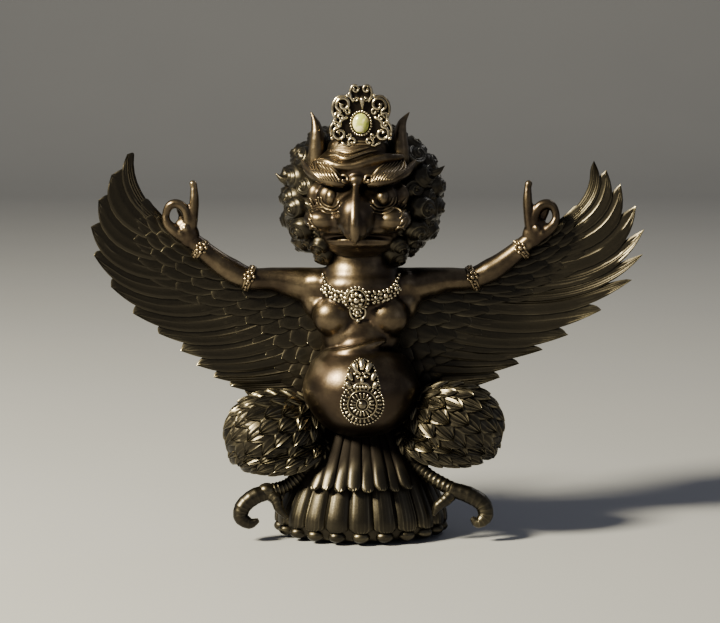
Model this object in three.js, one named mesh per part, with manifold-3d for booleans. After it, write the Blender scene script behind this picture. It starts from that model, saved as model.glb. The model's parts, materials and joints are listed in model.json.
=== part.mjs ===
// A cast bronze garuda that stands on the fan of its own tail, with a stone set in its crown.
// Millimetres, +Z up, the figure faces -Y, and the origin is on the floor under the tail.

import * as THREE from "three";
import { mergeVertices } from "three/addons/utils/BufferGeometryUtils.js";
import Module from "manifold-3d";

const wasm = await Module();
wasm.setup();

// Driving sizes
const FIGURE_HEIGHT = 202; // floor to crown tip
const FOOT_HALF_WIDTH = 33.5; // the flat underside of the tail
const FOOT_FRONT = 27;
const FOOT_BACK = 22;
const WING_THICKNESS = 2.4;
const FEATHER_STEP = 1.1; // how far one wing feather stands over the next
const COVERT_STEP = 1.2; // how far each row of short feathers stands over the next
const CROWN_THICKNESS = 2.4;
const STONE_HALF_WIDTH = 3.6;
const STONE_HALF_HEIGHT = 4.3;
const STONE_DEPTH = 2.2;
const BEZEL_WIRE = 0.75; // radius of the ring round the stone
const SEAT_GAP = 0.3; // clearance of the stone to its seat and ring
const PRIMARIES = 13; // long feathers on each wing
const SKIRT_FEATHERS = 21; // feathers round the lower tier of the tail
const BIB_FEATHERS = 6; // feathers of the upper tier, in front
const MANE_CURLS = 10; // curls round the head
const WHEEL_PETALS = 12; // petals of the wheel on the belly

// The sculpture is laid out in hundredths of its height
const u = FIGURE_HEIGHT / 100;
const vec = (x, y, z) => new THREE.Vector3(x, y, z);
const at = (x, y, z) => vec(x, y, z).multiplyScalar(u);
const FRONT = vec(0, -1, 0);
const UP = vec(0, 0, 1);
const SIDES = [-1, 1]; // -1 is the viewer's left
const HEAD_TURN = -4; // degrees: the head looks a little to the viewer's left

// Shape helpers

function signedVolume(geometry) {
  const { array } = geometry.index;
  const corner = (i) => vec(0, 0, 0).fromBufferAttribute(geometry.attributes.position, array[i]);
  let volume = 0;
  for (let i = 0; i < array.length; i += 3) {
    volume += corner(i).dot(corner(i + 1).cross(corner(i + 2))) / 6;
  }
  return volume;
}

// A closed solid with its faces pointing out, also where the shape was mirrored
function toSolid(geometry) {
  const bare = geometry.clone();
  bare.deleteAttribute("normal");
  bare.deleteAttribute("uv");
  const merged = mergeVertices(bare, 1e-4);
  const triVerts = new Uint32Array(merged.index.array);
  if (signedVolume(merged) < 0) {
    triVerts.reverse();
  }
  const vertProperties = new Float32Array(merged.attributes.position.array);
  return new wasm.Manifold(new wasm.Mesh({ numProp: 3, vertProperties, triVerts }));
}

function toGeometry(solid) {
  const mesh = solid.getMesh();
  const geometry = new THREE.BufferGeometry();
  geometry.setAttribute("position", new THREE.BufferAttribute(mesh.vertProperties, 3));
  geometry.setIndex(new THREE.BufferAttribute(mesh.triVerts, 1));
  geometry.computeVertexNormals();
  return geometry;
}

function join(solids) {
  return solids.reduce((whole, solid) => whole.add(solid));
}

// Moves every vertex of a geometry to where the function puts it
function reshape(geometry, place) {
  const positions = geometry.attributes.position;
  for (let i = 0; i < positions.count; i += 1) {
    const moved = place(positions.getX(i), positions.getY(i), positions.getZ(i));
    positions.setXYZ(i, moved.x, moved.y, moved.z);
  }
  return geometry;
}

// An egg with its own radii, in hundredths, tipped forward by a pitch and rolled about the viewing axis
function egg([x, y, z], [rx, ry, rz], { across = 8, down = 5, roll = 0, pitch = 0 } = {}) {
  const geometry = new THREE.SphereGeometry(u, across, down);
  geometry.rotateX(Math.PI / 2);
  geometry.scale(rx, ry, rz);
  geometry.rotateX(pitch);
  geometry.rotateY(roll);
  geometry.translate(x * u, y * u, z * u);
  return toSolid(geometry);
}

// Value at share t of a list of evenly spaced values, joined by straight lines
function along(values, t) {
  const place = Math.min(Math.max(t, 0), 1) * (values.length - 1);
  const i = Math.min(Math.floor(place), values.length - 2);
  return values[i] + (values[i + 1] - values[i]) * (place - i);
}

// A tapered rod through points, in hundredths, with a radius at each of them
function limb(points, radii, { sides = 6, rings = 5, flat = 1, facing = FRONT, swell = () => 1 } = {}) {
  const path = new THREE.CatmullRomCurve3(points.map((p) => at(...p)), false, "centripetal");
  const geometry = new THREE.CylinderGeometry(1, 1, 1, sides, rings);
  return toSolid(reshape(geometry, (x, y, z) => {
    const t = y + 0.5;
    const tangent = path.getTangent(t);
    const across = tangent.clone().cross(facing).normalize();
    const depth = across.clone().cross(tangent);
    const radius = along(radii, t) * u * swell(Math.round(t * rings));
    return path.getPoint(t).addScaledVector(across, x * radius).addScaledVector(depth, z * radius * flat);
  }));
}

const ringed = (ring) => (ring % 2 ? 1.12 : 0.88);
const beaded = (ring) => (ring % 2 ? 1.3 : 0.7);

// A leaf-shaped feather that lies on a surface with the given outward normal
function plume(root, direction, normal, { length, width, thickness, rows = 3 }) {
  const side = direction.clone().cross(normal).normalize();
  const geometry = new THREE.BoxGeometry(1, 1, 1, 2, rows, 1);
  return toSolid(reshape(geometry, (x, y, z) => {
    const t = y + 0.5;
    const halfWidth = width * (0.3 + 0.55 * t - 0.8 * t ** 3);
    const ridge = x === 0 ? 1 : 0.35;
    const height = z > 0 ? thickness * ridge * (0.6 + 0.4 * t) : -3 * thickness;
    return root.clone()
      .addScaledVector(direction, t * length)
      .addScaledVector(side, 2 * x * halfWidth)
      .addScaledVector(normal, height);
  }));
}

// A small pointed feather with a ridge, half sunk in the surface that it lies on
function leaf(middle, direction, normal) {
  const side = direction.clone().cross(normal).normalize();
  return toSolid(reshape(new THREE.OctahedronGeometry(u), (x, y, z) => middle.clone()
    .addScaledVector(direction, y * (y > 0 ? 4.6 : 3))
    .addScaledVector(side, x * 2.5)
    .addScaledVector(normal, z)));
}

// A closed body through equal rings of points. The outline is one ring laid flat, for the two ends
function loft(rings, outline) {
  const count = outline.length;
  const index = [];
  for (let ring = 0; ring + 1 < rings.length; ring += 1) {
    for (let i = 0; i < count; i += 1) {
      const a = ring * count + i;
      const b = ring * count + ((i + 1) % count);
      index.push(a, b, b + count, a, b + count, a + count);
    }
  }
  const last = (rings.length - 1) * count;
  THREE.ShapeUtils.triangulateShape(outline, []).forEach(([a, b, c]) => {
    index.push(a, b, c, last + c, last + b, last + a);
  });
  const geometry = new THREE.BufferGeometry().setFromPoints(rings.flat());
  geometry.setIndex(index);
  return toSolid(geometry);
}

// The same path on the left or on the right of the figure
const mirror = (side, points) => points.map(([x, y, z]) => [side * x, y, z]);

// Wings

// Tips of every second feather, from the top one down, and how deep the gaps between the tips are
const WING_TIPS = {
  "-1": [[49.2, 87.0], [56.5, 76.6], [59.2, 65.0], [52.1, 51.4], [41.4, 42.2], [34.1, 35.8], [26.5, 31.5]],
  1: [[49.8, 84.0], [56.2, 78.6], [61.8, 69.0], [60.2, 58.2], [46.8, 45.3], [35.9, 38.5], [27.4, 32.2]],
};
const TIP_GAPS = {
  "-1": [0.08, 0.12, 0.17, 0.18, 0.16, 0.14, 0.14],
  1: [0.1, 0.15, 0.15, 0.1, 0.09, 0.1, 0.12],
};
const WING_ROOTS = [[38.5, 66], [34, 62], [25, 58], [15, 55], [9, 50], [7, 40], [9, 28]];
const TIP_HEADINGS = [112, 96, 62, 32, 16, 12, 10]; // degrees above outward
const WING_ROOT_Y = 4.4;
const WING_CUP = 8.5; // how far the outer wing comes forward

// Across one feather: upper edge, shaft and lower edge, how far each falls short and how it stands up
const FEATHER_STATIONS = [0, 0.5, 0.92];
const STATION_GAP = { "-1": [0.6, 0, 1], 1: [1, 0, 0.4] };
const STATION_LIFT = [0, 0.7, 1];

// Along one feather: shares of its length, and the rows of short feathers that still cover it there
const WING_ROWS = [0, 0.17, 0.19, 0.4, 0.42, 0.72, 1];
const COVERS = [2, 2, 1, 1, 0, 0, 0];
const BACK_ROWS = [1, 0.5, 0];

function curveOf(pairs) {
  return new THREE.CatmullRomCurve3(pairs.map(([x, z]) => vec(x, 0, z)), false, "centripetal");
}

// The point at share b of the feather that stands at share a of the wing
function wingSurface(side) {
  const tips = curveOf(WING_TIPS[side]);
  const roots = curveOf(WING_ROOTS);
  return (a, b) => {
    const tip = tips.getPoint(a);
    const root = roots.getPoint(a);
    const heading = THREE.MathUtils.degToRad(along(TIP_HEADINGS, a));
    const reach = tip.distanceTo(root) * 0.5;
    const bend = vec(tip.x - Math.cos(heading) * reach, 0, tip.z - Math.sin(heading) * reach);
    const p = new THREE.QuadraticBezierCurve3(root, bend, tip).getPoint(b);
    const cup = Math.max(0, (p.x - 10) / 51) ** 2;
    return at(side * p.x, WING_ROOT_Y - WING_CUP * cup, p.z);
  };
}

function wing(side) {
  const surface = wingSurface(side);
  const stations = FEATHER_STATIONS.length;
  const rings = Array.from({ length: PRIMARIES * stations }, (_, column) => {
    const station = column % stations;
    const feather = Math.floor(column / stations) + FEATHER_STATIONS[station];
    const a = THREE.MathUtils.clamp((feather - 0.5) / (PRIMARIES - 1), 0, 1);
    const gap = STATION_GAP[side][station];
    const reach = 1 - along(TIP_GAPS[side], a) * gap;
    const lift = FEATHER_STEP * STATION_LIFT[station];
    const rounded = 0.03 * (1 - gap);
    const front = WING_ROWS.map((share, row) => {
      const b = (share + (share > 0 && share < 0.5 ? rounded : 0)) * reach;
      const height = WING_THICKNESS / 2 + COVERS[row] * COVERT_STEP + lift * Math.min(1, share * 2);
      return surface(a, b).addScaledVector(FRONT, height);
    });
    const behind = -WING_THICKNESS / 2;
    const back = BACK_ROWS.map((share) => surface(a, share * reach).addScaledVector(FRONT, behind));
    return [...front, ...back];
  });
  const outline = [...WING_ROWS.map((share) => bow(share, 1)), ...BACK_ROWS.map((share) => bow(share, 2))];
  return loft(rings, outline);
}

// Laid flat the ring is a half circle, so that its triangles run from the front to the back
function bow(share, radius) {
  return new THREE.Vector2(radius * Math.cos(share * Math.PI), radius * Math.sin(share * Math.PI));
}

// Arms and hands

const ELBOW = [24.6, -0.8, 57.2];
const WRIST = [35.2, -1.8, 63.7];

function arm(side) {
  const upper = [[4, 0.5, 54], [12, 0.2, 55.5], [18.5, -0.2, 56.7]];
  const fore = [[28.4, -1.1, 58.9], [32.2, -1.4, 61.5], [37.6, -2.1, 66.4]];
  const whole = mirror(side, [...upper, ELBOW, ...fore]);
  return [
    limb(whole, [5.6, 4.0, 2.8, 2.4, 2.6, 2.4, 1.8], { sides: 7, rings: 6 }),
    ...bracelet(side, ELBOW, 2.7, 0.35),
    ...bracelet(side, WRIST, 2.3, 0.7),
  ];
}

// A band round the arm with a flower on its front
function bracelet(side, [x, y, z], radius, slope) {
  return [
    egg([side * x, y, z], [1.1, radius * 1.15, radius * 1.15], { across: 6, down: 3, roll: -side * slope }),
    egg([side * x, y - radius, z + 0.5], [1.4, 0.9, 1.4], { across: 5, down: 3 }),
  ];
}

// Palm forward, with one finger raised and another that meets the thumb in a ring
function hand(side) {
  return [
    egg([side * 38.2, -2.4, 67.4], [2.5, 1.5, 3.4], { across: 6, down: 4, roll: side * 0.5 }),
    limb(mirror(side, [[37.0, -2.5, 68.6], [36.7, -2.6, 73], [36.5, -2.5, 78.1]]),
      [1.3, 1.15, 0.45], { sides: 5, rings: 2 }),
    limb(mirror(side, [[37.8, -2.8, 70.2], [38.7, -3, 73.1], [41.1, -3, 74.1], [42.8, -3, 71.9]]),
      [1.2, 1.05, 1.0, 0.8], { sides: 5, rings: 4 }),
    limb(mirror(side, [[38.8, -2.4, 67.0], [41.4, -3, 68.4], [42.8, -3.1, 70.3], [42.9, -3, 72.6]]),
      [1.5, 1.25, 1.05, 0.6], { sides: 5, rings: 3 }),
  ];
}

// Body

const BELLY = { centre: [0, -6, 33.2], radii: [12.7, 11.6, 10.4] };

function torso() {
  return [
    egg([0, -1, 51], [9.6, 6.4, 8.8], { across: 9, down: 6 }),
    egg([0, -2.2, 44.6], [8.9, 8.0, 6], { across: 10, down: 4 }),
    egg([0, -4.6, 43.4], [8.6, 7.8, 2.4], { across: 10, down: 3 }),
    egg(BELLY.centre, BELLY.radii, { across: 13, down: 8 }),
    egg([0, 0.5, 28], [12.5, 8, 12], { across: 8, down: 4 }),
    egg([0, -1.5, 61], [7.1, 6.4, 7.5], { across: 10, down: 4 }),
    limb([[9.4, 1, 58.8], [6.5, -5.4, 57.6], [0, -8, 56.4], [-6.5, -5.4, 57.6], [-9.4, 1, 58.8]],
      [1.1, 1.1], { sides: 4, rings: 6, facing: UP }),
    ...SIDES.map((side) => egg([side * 5.2, -5.2, 52.2], [4.1, 3.8, 3.9], { across: 7, down: 5 })),
  ];
}

// Thigh and calf of each leg, folded one on the other, with leaf feathers that point away from the hip
const LEG_SHIFT = { "-1": [0, 0], 1: [1.3, 1.8] };
const THIGH = { centre: [19.2, -6, 24.2], radii: [10.3, 8.6, 8.2] };
const CALF = { centre: [17.6, -6, 19.6], radii: [10.8, 7.2, 4.4] };
const THIGH_ROWS = [
  { lean: 0.6, count: 4, start: -0.3, end: 1.3 },
  { lean: 0.05, count: 3, start: -0.4, end: 0.9 },
];

function thigh(side) {
  const [outward, upward] = LEG_SHIFT[side];
  const centreOf = ({ centre: [x, y, z] }) => [side * (x + outward), y, z + upward];
  const centre = at(...centreOf(THIGH));
  const leaves = THIGH_ROWS.flatMap(({ lean, count, start, end }) => Array.from({ length: count }, (_, i) => {
    const turn = start + ((end - start) * i) / (count - 1);
    const normal = vec(-side * lean, -Math.cos(turn), Math.sin(turn)).normalize();
    const onThigh = normal.clone().multiply(vec(...THIGH.radii)).multiplyScalar(u).add(centre);
    const down = vec(side, 0, -0.45);
    const direction = down.addScaledVector(normal, -down.dot(normal)).normalize();
    return leaf(onThigh, direction, normal);
  }));
  return [
    egg(centreOf(THIGH), THIGH.radii, { across: 10, down: 6, roll: side * 0.12 }),
    egg(centreOf(CALF), CALF.radii, { across: 8, down: 4, roll: side * 0.05 }),
    ...leaves,
  ];
}

// Bare ringed shank, a long outer claw that curls inward and a short claw on the edge of the tail
const SHANKS = {
  "-1": [[10, -5, 17.5], [12.8, -6, 14.6], [16.3, -7, 12.0], [20.4, -8.2, 10.8]],
  1: [[8, -5, 20.5], [11.2, -6, 17.4], [15, -7, 14.2], [20, -8.4, 11.4]],
};
const OUTER_CLAWS = {
  "-1": [
    [20, -8.2, 10.8], [23.2, -9, 10], [25.9, -9.6, 7.7],
    [26.2, -10, 5.5], [24.3, -10.4, 4.3], [22.4, -10.6, 5],
  ],
  1: [
    [19.6, -8.4, 11.5], [23.9, -9, 10.2], [26.8, -9.6, 8.2],
    [27.2, -10, 5.7], [25.6, -10.4, 4.5], [24.2, -10.6, 5.5],
  ],
};
const INNER_CLAWS = {
  "-1": [[20.6, -8.2, 10.8], [18.6, -9.2, 9.3], [17.9, -9.8, 7.5], [16, -10.2, 5.2]],
  1: [[20.4, -8.4, 11], [18.6, -9.4, 9.3], [16.8, -9.9, 7.9], [15.9, -10.2, 6.0]],
};

function foot(side) {
  return [
    limb(mirror(side, SHANKS[side]), [2.2, 1.8, 1.6, 1.7], { rings: 6, swell: ringed }),
    limb(mirror(side, OUTER_CLAWS[side]), [1.7, 1.8, 1.75, 1.6, 1.2, 0.5], { rings: 7 }),
    limb(mirror(side, INNER_CLAWS[side]), [1.5, 1.3, 1.1, 0.4], { sides: 5, rings: 3 }),
  ];
}

// Tail: a fan of fluted feathers that ends in a flat underside, with a bib of short ones over it

// Levels of the fan from the top down, in hundredths, and how far it spreads there, as shares of the foot
const FAN_HEIGHTS = [25, 13, 6, 2.2, 0];
const FAN_SPREADS = [0.57, 0.92, 1.13, 1.1, 1];

// A point of the fan at one level, raised by some over its middle surface. Angle 0 is the front
function fanPoint(angle, level, raise) {
  const standing = Math.cos(angle) > 0 ? FOOT_FRONT : FOOT_BACK;
  const spread = FAN_SPREADS[level];
  return vec(
    Math.sin(angle) * (FOOT_HALF_WIDTH * spread + raise),
    -Math.cos(angle) * (standing * spread + raise),
    FAN_HEIGHTS[level] * u);
}

function fan() {
  const stations = 3;
  const levels = FAN_HEIGHTS.length - 1;
  const columns = SKIRT_FEATHERS * stations;
  const geometry = new THREE.CylinderGeometry(1, 1, 1, columns, levels);
  return toSolid(reshape(geometry, (x, y, z) => {
    const level = Math.round((0.5 - y) * levels);
    const angle = Math.atan2(x, z);
    const column = Math.round((angle / (2 * Math.PI)) * columns);
    const valley = column % stations === 0;
    const swell = (valley ? -0.7 : 0.45) * u * along([0.4, 0.9, 1.3, 1.2, 0.5], level / levels);
    const middle = Math.hypot(x, z) < 0.5;
    return middle ? vec(0, 0, FAN_HEIGHTS[level] * u) : fanPoint(angle, level, swell);
  }));
}

function bib() {
  const spread = 1.5;
  return Array.from({ length: BIB_FEATHERS }, (_, i) => {
    const angle = ((i + 0.5) / BIB_FEATHERS - 0.5) * spread;
    const top = fanPoint(angle * 0.9, 0, 0.4 * u);
    const end = fanPoint(angle, 1, 1.0 * u);
    const direction = end.clone().sub(top).normalize();
    const outward = vec(Math.sin(angle), -Math.cos(angle), 0);
    const normal = outward.addScaledVector(direction, -outward.dot(direction)).normalize();
    const length = top.distanceTo(end);
    return plume(top, direction, normal, { length, width: 3.8 * u, thickness: 1.1 * u, rows: 2 });
  });
}

// Head, built looking straight ahead

const MANE = { centre: vec(0, 1.6, 76.3), radii: vec(17.8, 12.2, 14.9), rows: 9, curl: 0.05 };
const JOWLS = 3.2; // 2 is an ellipse, and more is a fuller mane below

// Curls round the head. Each spans three rows and three columns of the ball, and a valley parts them
function mane() {
  const columns = MANE_CURLS * 3;
  const geometry = new THREE.SphereGeometry(1, columns, MANE.rows);
  return toSolid(reshape(geometry, (x, y, z) => {
    const row = Math.round((Math.acos(THREE.MathUtils.clamp(y, -1, 1)) / Math.PI) * MANE.rows);
    const angle = Math.atan2(z, x);
    const column = Math.round((angle / (2 * Math.PI) + 1) * columns);
    const pole = row === 0 || row === MANE.rows;
    const valley = pole || row % 3 === 0 || (column + Math.floor(row / 3)) % 3 === 0;
    const power = z < 0 ? JOWLS : 2;
    const shares = Math.abs(Math.cos(angle)) ** power + Math.abs(Math.sin(angle)) ** power;
    const fullness = shares ** (-1 / power);
    const swell = u * (valley ? 1 - MANE.curl : 1 + MANE.curl);
    const round = vec(x * fullness, y, z * fullness);
    return round.multiply(MANE.radii).multiplyScalar(swell).addScaledVector(MANE.centre, u);
  }));
}

function face() {
  return [
    egg([0, -5.2, 73.2], [11, 9, 11.5], { across: 10, down: 7 }),
    egg([0, -6.6, 82.2], [10.4, 7.8, 5.4], { across: 10, down: 5 }),
    egg([0, -6.2, 66.2], [9.4, 7.4, 4.6], { across: 8, down: 4 }),
    egg([0, -7.4, 88], [5.2, 3.8, 3.8], { across: 8, down: 4 }),
    limb([[0, -12.4, 80.6], [0, -15.4, 77], [0, -17.8, 73], [0, -18.4, 69.4], [0, -16.4, 66.4]],
      [1.5, 2.2, 2.9, 2.4, 0.6], { sides: 6, rings: 4, flat: 1.25 }),
    ...SIDES.flatMap(cheek),
  ];
}

function cheek(side) {
  const lean = side > 0 ? 0.5 : 0;
  return [
    egg([side * 7.2, -10.3, 71.2], [4.0, 3.7, 2.9], { across: 7, down: 4 }),
    egg([side * 5.5, -12.8, 75.8], [1.4, 1.7, 2.1], { across: 6, down: 4 }),
    limb(mirror(side, [[2.6, -13.8, 79.4], [5.4, -14.3, 81.6], [8.6, -12.6, 80.4], [12, -8.6, 80.2]]),
      [0.8, 1.5, 1.4, 0.5], { sides: 4, rings: 3 }),
    limb(mirror(side, [[2.6, -13.4, 66.8], [6.2, -12.2, 65.8], [9.3, -9.4, 67.4]]),
      [1.0, 1.3, 0.6], { sides: 4, rings: 2 }),
    limb(mirror(side, [[9.5, -6.4, 82.6], [9.5, -6.8, 86], [9.4, -6.8, 90], [10.6, -6, 93.8 + lean]]),
      [2.0, 1.8, 1.5, 0.25], { rings: 3 }),
  ];
}

// Crown: a lobed plate on the brow, with scrolls, a drop and a ringed seat for the stone

const CROWN_CENTRE = [0.8, -10.2, 92.7];
const CROWN_LOBES = [
  { x: 0, z: 5.0, radius: 2.3 },
  { x: 3.5, z: 2.0, radius: 2.8 },
  { x: 3.6, z: -2.6, radius: 3.1 },
  { x: 0, z: -3.4, radius: 2.6 },
];
const CROWN_CORE = 4.2; // radius of the plain disc behind the lobes
const STONE_DROP = 1.0; // how far the stone sits under the middle of the plate

// Distance from the middle of the plate to its edge, which is the farthest of its round lobes
function crownReach(angle) {
  const reaches = CROWN_LOBES.flatMap(({ x, z, radius }) => SIDES.map((side) => {
    const onRay = side * x * Math.cos(angle) + z * Math.sin(angle);
    const offRay = side * x * Math.sin(angle) - z * Math.cos(angle);
    return Math.abs(offRay) < radius ? onRay + Math.sqrt(radius ** 2 - offRay ** 2) : 0;
  }));
  return Math.max(CROWN_CORE, ...reaches) * u;
}

// Stands a flat shape, drawn with its face towards +Z, up on the brow
function standUp(geometry, forward) {
  geometry.translate(0, 0, forward);
  geometry.rotateX(Math.PI / 2);
  const [x, y, z] = CROWN_CENTRE;
  return toSolid(geometry.translate(x * u, y * u, z * u));
}

function crownPlate() {
  const corners = 28;
  const points = Array.from({ length: corners }, (_, i) => {
    const angle = (i / corners) * 2 * Math.PI;
    return new THREE.Vector2(Math.cos(angle), Math.sin(angle)).multiplyScalar(crownReach(angle));
  });
  const depth = CROWN_THICKNESS;
  return standUp(new THREE.ExtrudeGeometry(new THREE.Shape(points), { depth, bevelEnabled: false }), 0);
}

// A ring of round wire with its own half width and half height
function wireRing(halfWidth, halfHeight, wire, segments) {
  return reshape(new THREE.TorusGeometry(2, 1, 4, segments), (x, y, z) => {
    const angle = Math.atan2(y, x);
    const off = (Math.hypot(x, y) - 2) * wire;
    return vec(Math.cos(angle) * (halfWidth + off), Math.sin(angle) * (halfHeight + off), z * wire);
  });
}

// A scroll on one lobe of the plate
function crownScroll(side, { x, z, radius }) {
  const turns = 0.8;
  const path = new THREE.CatmullRomCurve3(Array.from({ length: 6 }, (_, i) => {
    const angle = -0.9 + (i / 5) * turns * 2 * Math.PI;
    const reach = radius * (0.72 - 0.09 * i);
    return vec(side * (x + Math.cos(angle) * reach) * u, (z + Math.sin(angle) * reach) * u, 0);
  }));
  const strip = new THREE.CylinderGeometry(1, 1, 1, 4, 5);
  return standUp(reshape(strip, (px, py, pz) => {
    const tangent = path.getTangent(py + 0.5);
    const across = vec(tangent.y, -tangent.x, 0).normalize();
    return path.getPoint(py + 0.5).addScaledVector(across, px * 0.5 * u).add(vec(0, 0, pz * 0.6 * u));
  }), CROWN_THICKNESS);
}

function crown() {
  const grip = SEAT_GAP + BEZEL_WIRE;
  const bezel = wireRing(STONE_HALF_WIDTH + grip, STONE_HALF_HEIGHT + grip, BEZEL_WIRE, 14);
  const drop = new THREE.SphereGeometry(1, 6, 4).scale(0.6 * u, 1.7 * u, 0.6 * u).translate(0, 4.4 * u, 0);
  return [
    crownPlate(),
    standUp(bezel.translate(0, -STONE_DROP * u, 0), CROWN_THICKNESS),
    standUp(drop, CROWN_THICKNESS),
    ...SIDES.flatMap((side) => [crownScroll(side, CROWN_LOBES[1]), crownScroll(side, CROWN_LOBES[2])]),
  ];
}

// The polished stone: a dome with a flat back, clear of its seat all round
function stone() {
  const geometry = reshape(new THREE.SphereGeometry(1, 14, 6), (x, y, z) => vec(
    x * STONE_HALF_WIDTH, y * STONE_HALF_HEIGHT, Math.max(z, 0) * STONE_DEPTH));
  const seated = geometry.translate(0, -STONE_DROP * u, 0);
  return standUp(seated, CROWN_THICKNESS + SEAT_GAP).rotate([0, 0, HEAD_TURN]);
}

// Jewellery

// Point of the belly at a place seen from the front, in hundredths, raised by some
function onBelly(x, z, raise) {
  const [cx, cy, cz] = BELLY.centre;
  const [rx, ry, rz] = BELLY.radii;
  const inward = Math.sqrt(Math.max(0, 1 - ((x - cx) / rx) ** 2 - ((z - cz) / rz) ** 2));
  return [x, cy - ry * inward - raise, z];
}

const WHEEL = { x: 0.3, z: 31.6, radius: 4.9 };

// A wheel of petals with a guardian's face over it, on the front of the belly
function belt() {
  const { x, z, radius } = WHEEL;
  const [, front] = onBelly(x, z, 0);
  const ring = wireRing(radius * 0.68 * u, radius * 0.68 * u, 0.45 * u, 14).rotateX(Math.PI / 2);
  const petals = reshape(new THREE.CylinderGeometry(1, 1, 1, WHEEL_PETALS * 2, 1), (px, py, pz) => {
    const angle = Math.atan2(px, pz);
    const column = Math.round((angle / (2 * Math.PI)) * WHEEL_PETALS * 2);
    const reach = Math.hypot(px, pz) < 0.5 ? 0 : radius * (column % 2 ? 0.92 : 1.04);
    return at(x + Math.sin(angle) * reach, front + (py > 0 ? -0.7 : 3), z + Math.cos(angle) * reach);
  });
  return [
    toSolid(petals),
    toSolid(ring.translate(x * u, (front - 0.8) * u, z * u)),
    egg([x, front - 0.7, z], [1.1, 0.9, 1.1], { across: 6, down: 3 }),
    egg(onBelly(0, 38.4, -0.4), [3.9, 1.6, 3.4], { across: 8, down: 4, pitch: -0.5 }),
    egg(onBelly(0, 41.2, 0.2), [0.9, 0.9, 1.5], { across: 5, down: 3 }),
    ...SIDES.map((side) => egg(onBelly(side * 2.2, 40.2, 0.2), [0.9, 0.9, 1.3], { across: 5, down: 3 })),
  ];
}

function necklace() {
  const half = [[8.4, -3.6, 59], [7.4, -7.2, 56.4], [4, -9.2, 54.8]];
  return [
    limb([...mirror(-1, half), [0, -9.4, 54.2], ...[...half].reverse()], [0.85, 0.85],
      { sides: 4, rings: 16, swell: beaded }),
    egg([-0.3, -8.4, 53.6], [2.3, 1.7, 2.3], { across: 7, down: 4 }),
    egg([-0.3, -7.6, 50.6], [1.5, 1.4, 1.6], { across: 5, down: 3 }),
  ];
}

// Assembly

function figure() {
  const head = join([mane(), ...face(), ...crown()]).rotate([0, 0, HEAD_TURN]);
  const sides = SIDES.flatMap((side) => [
    wing(side), ...arm(side), ...hand(side), ...thigh(side), ...foot(side),
  ]);
  return join([...torso(), ...sides, fan(), ...bib(), ...belt(), ...necklace(), head]);
}

const bronze = new THREE.MeshStandardMaterial({ color: 0x3a2c20, metalness: 1, roughness: 0.35 });
const paleStone = new THREE.MeshStandardMaterial({ color: 0xd9dca0, metalness: 0, roughness: 0.3 });

function piece(name, solid, material) {
  const mesh = new THREE.Mesh(toGeometry(solid), material);
  mesh.name = name;
  return mesh;
}

const group = new THREE.Group();
group.add(piece("garuda_figure", figure(), bronze));
group.add(piece("crown_stone", stone(), paleStone));

export default group;
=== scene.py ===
# %% [markdown]
# # A garuda cast in bronze
#
# The object is a table figure about 20 cm high: a winged guardian with a beak, horns and a curly mane,
# which stands on the flared fan of its own tail. It is one hollow casting in dark bronze. Only the pale
# stone in the crown is a piece of its own. This lesson dresses the two solids of the frame with the relief
# and the finish that the real figure shows. Lengths are in hundredths of the figure's height, because a
# sculptor works in shares of the whole.

# %% Load the frame
import json
import math

import bpy
import numpy as np
from mathutils import Matrix, Vector
from mathutils.bvhtree import BVHTree

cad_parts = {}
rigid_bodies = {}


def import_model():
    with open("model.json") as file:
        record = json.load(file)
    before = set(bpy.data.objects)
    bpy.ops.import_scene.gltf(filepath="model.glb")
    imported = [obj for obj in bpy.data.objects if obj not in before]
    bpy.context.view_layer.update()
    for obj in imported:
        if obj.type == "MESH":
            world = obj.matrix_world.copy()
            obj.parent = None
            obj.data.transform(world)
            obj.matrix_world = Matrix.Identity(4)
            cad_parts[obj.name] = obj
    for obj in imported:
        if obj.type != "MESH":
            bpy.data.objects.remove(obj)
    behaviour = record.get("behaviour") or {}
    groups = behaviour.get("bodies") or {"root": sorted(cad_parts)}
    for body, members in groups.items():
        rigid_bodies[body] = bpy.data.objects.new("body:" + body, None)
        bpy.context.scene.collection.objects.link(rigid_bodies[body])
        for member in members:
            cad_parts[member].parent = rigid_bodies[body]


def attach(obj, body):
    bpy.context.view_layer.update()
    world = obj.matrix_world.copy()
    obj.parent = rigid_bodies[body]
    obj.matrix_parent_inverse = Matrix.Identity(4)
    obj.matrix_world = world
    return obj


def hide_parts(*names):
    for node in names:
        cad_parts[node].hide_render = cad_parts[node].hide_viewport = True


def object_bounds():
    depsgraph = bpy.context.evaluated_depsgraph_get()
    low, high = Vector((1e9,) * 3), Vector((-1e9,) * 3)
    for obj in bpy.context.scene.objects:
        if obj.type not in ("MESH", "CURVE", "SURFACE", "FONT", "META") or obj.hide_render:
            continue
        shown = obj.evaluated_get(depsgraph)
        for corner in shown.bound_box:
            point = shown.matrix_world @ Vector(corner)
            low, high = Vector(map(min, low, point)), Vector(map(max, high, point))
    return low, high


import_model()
cad_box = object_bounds()
U = cad_box[1].z / 100
MM = 0.001
SIDES = (-1, 1)  # -1 is the viewer's left
HEAD_TURN = math.radians(-4)
print("height of the figure in mm:", round(cad_box[1].z / MM, 1))

# %% [markdown]
# ## Camera
#
# The photograph was taken from a little over a metre away with a long lens, slightly above the middle of
# the figure. A long lens keeps the wings and the beak in proportion, so the same distance and angle are
# used here.

# %% Add the camera
CAMERA_DISTANCE = 1.1
CAMERA_ELEVATION = math.radians(7)
PHOTO_WIDTH = 720
FOCAL_PIXELS = 2466
SENSOR_WIDTH = 36
NEAR_CLIP = 0.05
AIM = Vector((-0.0004, 0, 0.1004))

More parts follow.
